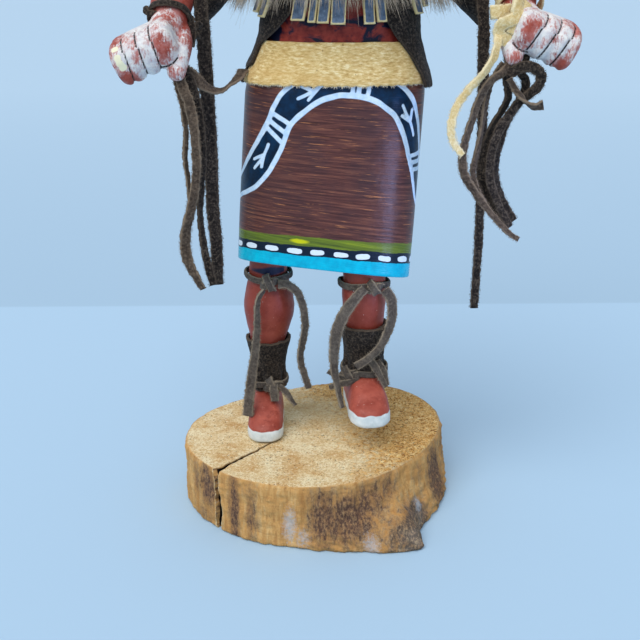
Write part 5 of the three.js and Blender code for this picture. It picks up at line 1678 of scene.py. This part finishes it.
def log_material():
    p = Paint("log")
    # the sawn top: pale tan end grain with golden patches, torn into fibres on one side
    top = p.ramp(p.noise(13, 4, 0.65), (0.34, (208, 164, 104)), (0.47, (228, 198, 146)),
                 (0.6, (240, 220, 176)))
    fleck = p.noise(0.9, 4, 0.8, distortion=0.6)
    top = p.mix(p.step(fleck, 0.51, 0.6) * 0.7, top, (186, 134, 78))
    top = p.mix(p.step(fleck, 0.46, 0.37) * 0.75, top, (252, 238, 204))
    fibre = p.noise(1.5, 5, 0.8, distortion=1.2)
    torn = p.ramp(fibre, (0.37, (112, 68, 34)), (0.44, (204, 142, 72)), (0.52, (240, 190, 112)),
                  (0.62, (254, 232, 176)))
    uneven = (p.noise(2.4, 4, 0.7) - 0.5) * 2.4
    top = p.mix(p.step(p.attribute("torn") + uneven, 0.3, 0.8), top, torn)
    top = p.mix(p.attribute("shaded") * 0.5, top, (140, 130, 100))
    pit = p.step(p.noise(0.8, 2, 0.5), 0.63, 0.68) * p.step(p.noise(8, 2), 0.42, 0.56)
    top = p.mix(pit * 0.8, top, (92, 56, 30))
    # the side under the bark: golden tan with dark stains, saw marks and chalky rubs
    grain = p.noise(2.2, 5, 0.7, p.stretched((1, 1, 0.16)))
    fine = p.noise(0.9, 4, 0.8, p.stretched((1, 1, 0.5)))
    sawn = p.noise(0.7, 3, 0.7, p.stretched((0.16, 0.16, 1)))
    tan = p.ramp(grain, (0.3, (166, 118, 68)), (0.5, (208, 160, 98)), (0.7, (236, 200, 140)))
    tan = p.mix(p.step(p.noise(12, 3), 0.4, 0.62) * 0.5, tan, (202, 146, 82))
    tan = p.mix(p.step(sawn, 0.5, 0.3) * 0.35, tan, (150, 106, 66))
    cloudy = (p.noise(3.4, 5, 0.75) - 0.5) * 0.9
    stain = p.attribute("stain") + (grain - 0.5) * 1.5 + cloudy
    dark = p.ramp(fine, (0.3, (54, 38, 36)), (0.5, (92, 68, 60)), (0.68, (136, 104, 82)))
    stone = p.ramp(fine, (0.3, (66, 62, 60)), (0.5, (112, 104, 98)), (0.7, (152, 144, 136)))
    stone = p.mix(p.attribute("arcs") * 0.6, stone, (58, 50, 46))
    dark = p.mix(p.attribute("grey"), dark, stone)
    through = p.step(fine, 0.6, 0.46) * 0.3 + 0.66
    tan = p.mix(p.step(stain, 0.16, 0.7) * through, tan, dark)
    tan = p.mix(p.step(fine, 0.4, 0.3) * 0.4, tan, (104, 74, 48))
    rubbed = p.attribute("chalk") + (p.noise(1.0, 5, 0.85) - 0.5) * 2.2
    tan = p.mix(p.step(rubbed, 0.45, 1.0) * 0.6, tan, (184, 194, 204))
    base = p.mix(p.attribute("side"), top, tan)
    # the split's inside painted near black: painted shade
    base = p.mix(p.step(p.attribute("inside"), 0.05, 0.5), base, (18, 10, 6))
    normal = p.bump(fleck, 0.25, p.bump(grain, 0.4, p.bump(fine, 0.3)))
    normal = p.bump(fibre * p.attribute("torn"), 1.1, p.bump(sawn, 0.15, normal))
    return p.done(base, 0.85, normal, Specular_IOR_Level=0.2)


# ---------- the studio ----------


def studio():
    bpy.context.scene.view_settings.view_transform = "Standard"
    camera()
    sky = lamp("SUN", (-0.3, -0.55, 0.95), (0, 0, 0.1), 2.05)
    sky.angle = math.radians(50)
    window = lamp("SPOT", (0.24, -0.215, 0.07), (0.03, -0.011, 0.13), 2.2, (0.42, 0.52, 1))
    window.shadow_soft_size = 0.02
    window.spot_size = math.radians(26)
    window.spot_blend = 1.0
    world = bpy.data.worlds.new("world")
    world.use_nodes = True
    background = world.node_tree.nodes["Background"]
    background.inputs[0].default_value = colour((214, 226, 240))
    background.inputs[1].default_value = 0.8
    bpy.context.scene.world = world
    table()


def table():
    """A wide pale table top, with the faint line where the cloth behind it begins, and painted
    light on the cloth that brightens farther back.
    """
    size = 30.0
    mesh = bpy.data.meshes.new("table")
    mesh.from_pydata([(-size, -size, 0), (size, -size, 0), (size, size, 0), (-size, size, 0)],
                     [], [(0, 1, 2, 3)])
    p = Paint("table_top")
    x, y, _ = p.axes()
    behind = x * -0.02 + y
    near = p.mix(p.step(behind, 238.5, 241.5), (174, 201, 222), (165, 191, 211))
    # farther back the cloth is painted lighter with distance: painted light, as the backdrop is
    # brighter higher up
    base = p.mix(p.step(behind, 250, 1500), near, (178, 202, 220))
    mesh.materials.append(p.done(base, 0.7, None, Specular_IOR_Level=0.2))
    link(bpy.data.objects.new("table", mesh))


def doll():
    materials = {
        "dark_suede": suede("dark_suede", (36, 30, 27), (52, 44, 38), (94, 82, 70), (14, 11, 10),
                            (96, 82, 68)),
        "worn_suede": suede("worn_suede", (66, 54, 45), (92, 77, 64), (126, 108, 90),
                            (30, 23, 19), (146, 126, 104), 0.6),
        "grey_suede": suede("grey_suede", (74, 66, 60), (98, 89, 80), (128, 116, 103),
                            (46, 40, 36), (158, 142, 120), 0.45),
        "pale_suede": suede("pale_suede", (212, 184, 126), (228, 204, 152), (244, 230, 190),
                            (190, 156, 98), (240, 226, 188), 0.6, 0.25),
    }
    laces(materials)
    figure()
    arms()
    belt()
    vest(materials["dark_suede"])
    sleeves(materials["dark_suede"])
    tab_collar()
    cuffs(materials["dark_suede"])
    ties(materials)
    fur()
    feathers()
    log_base()


studio()
doll()
bpy.context.view_layer.update()
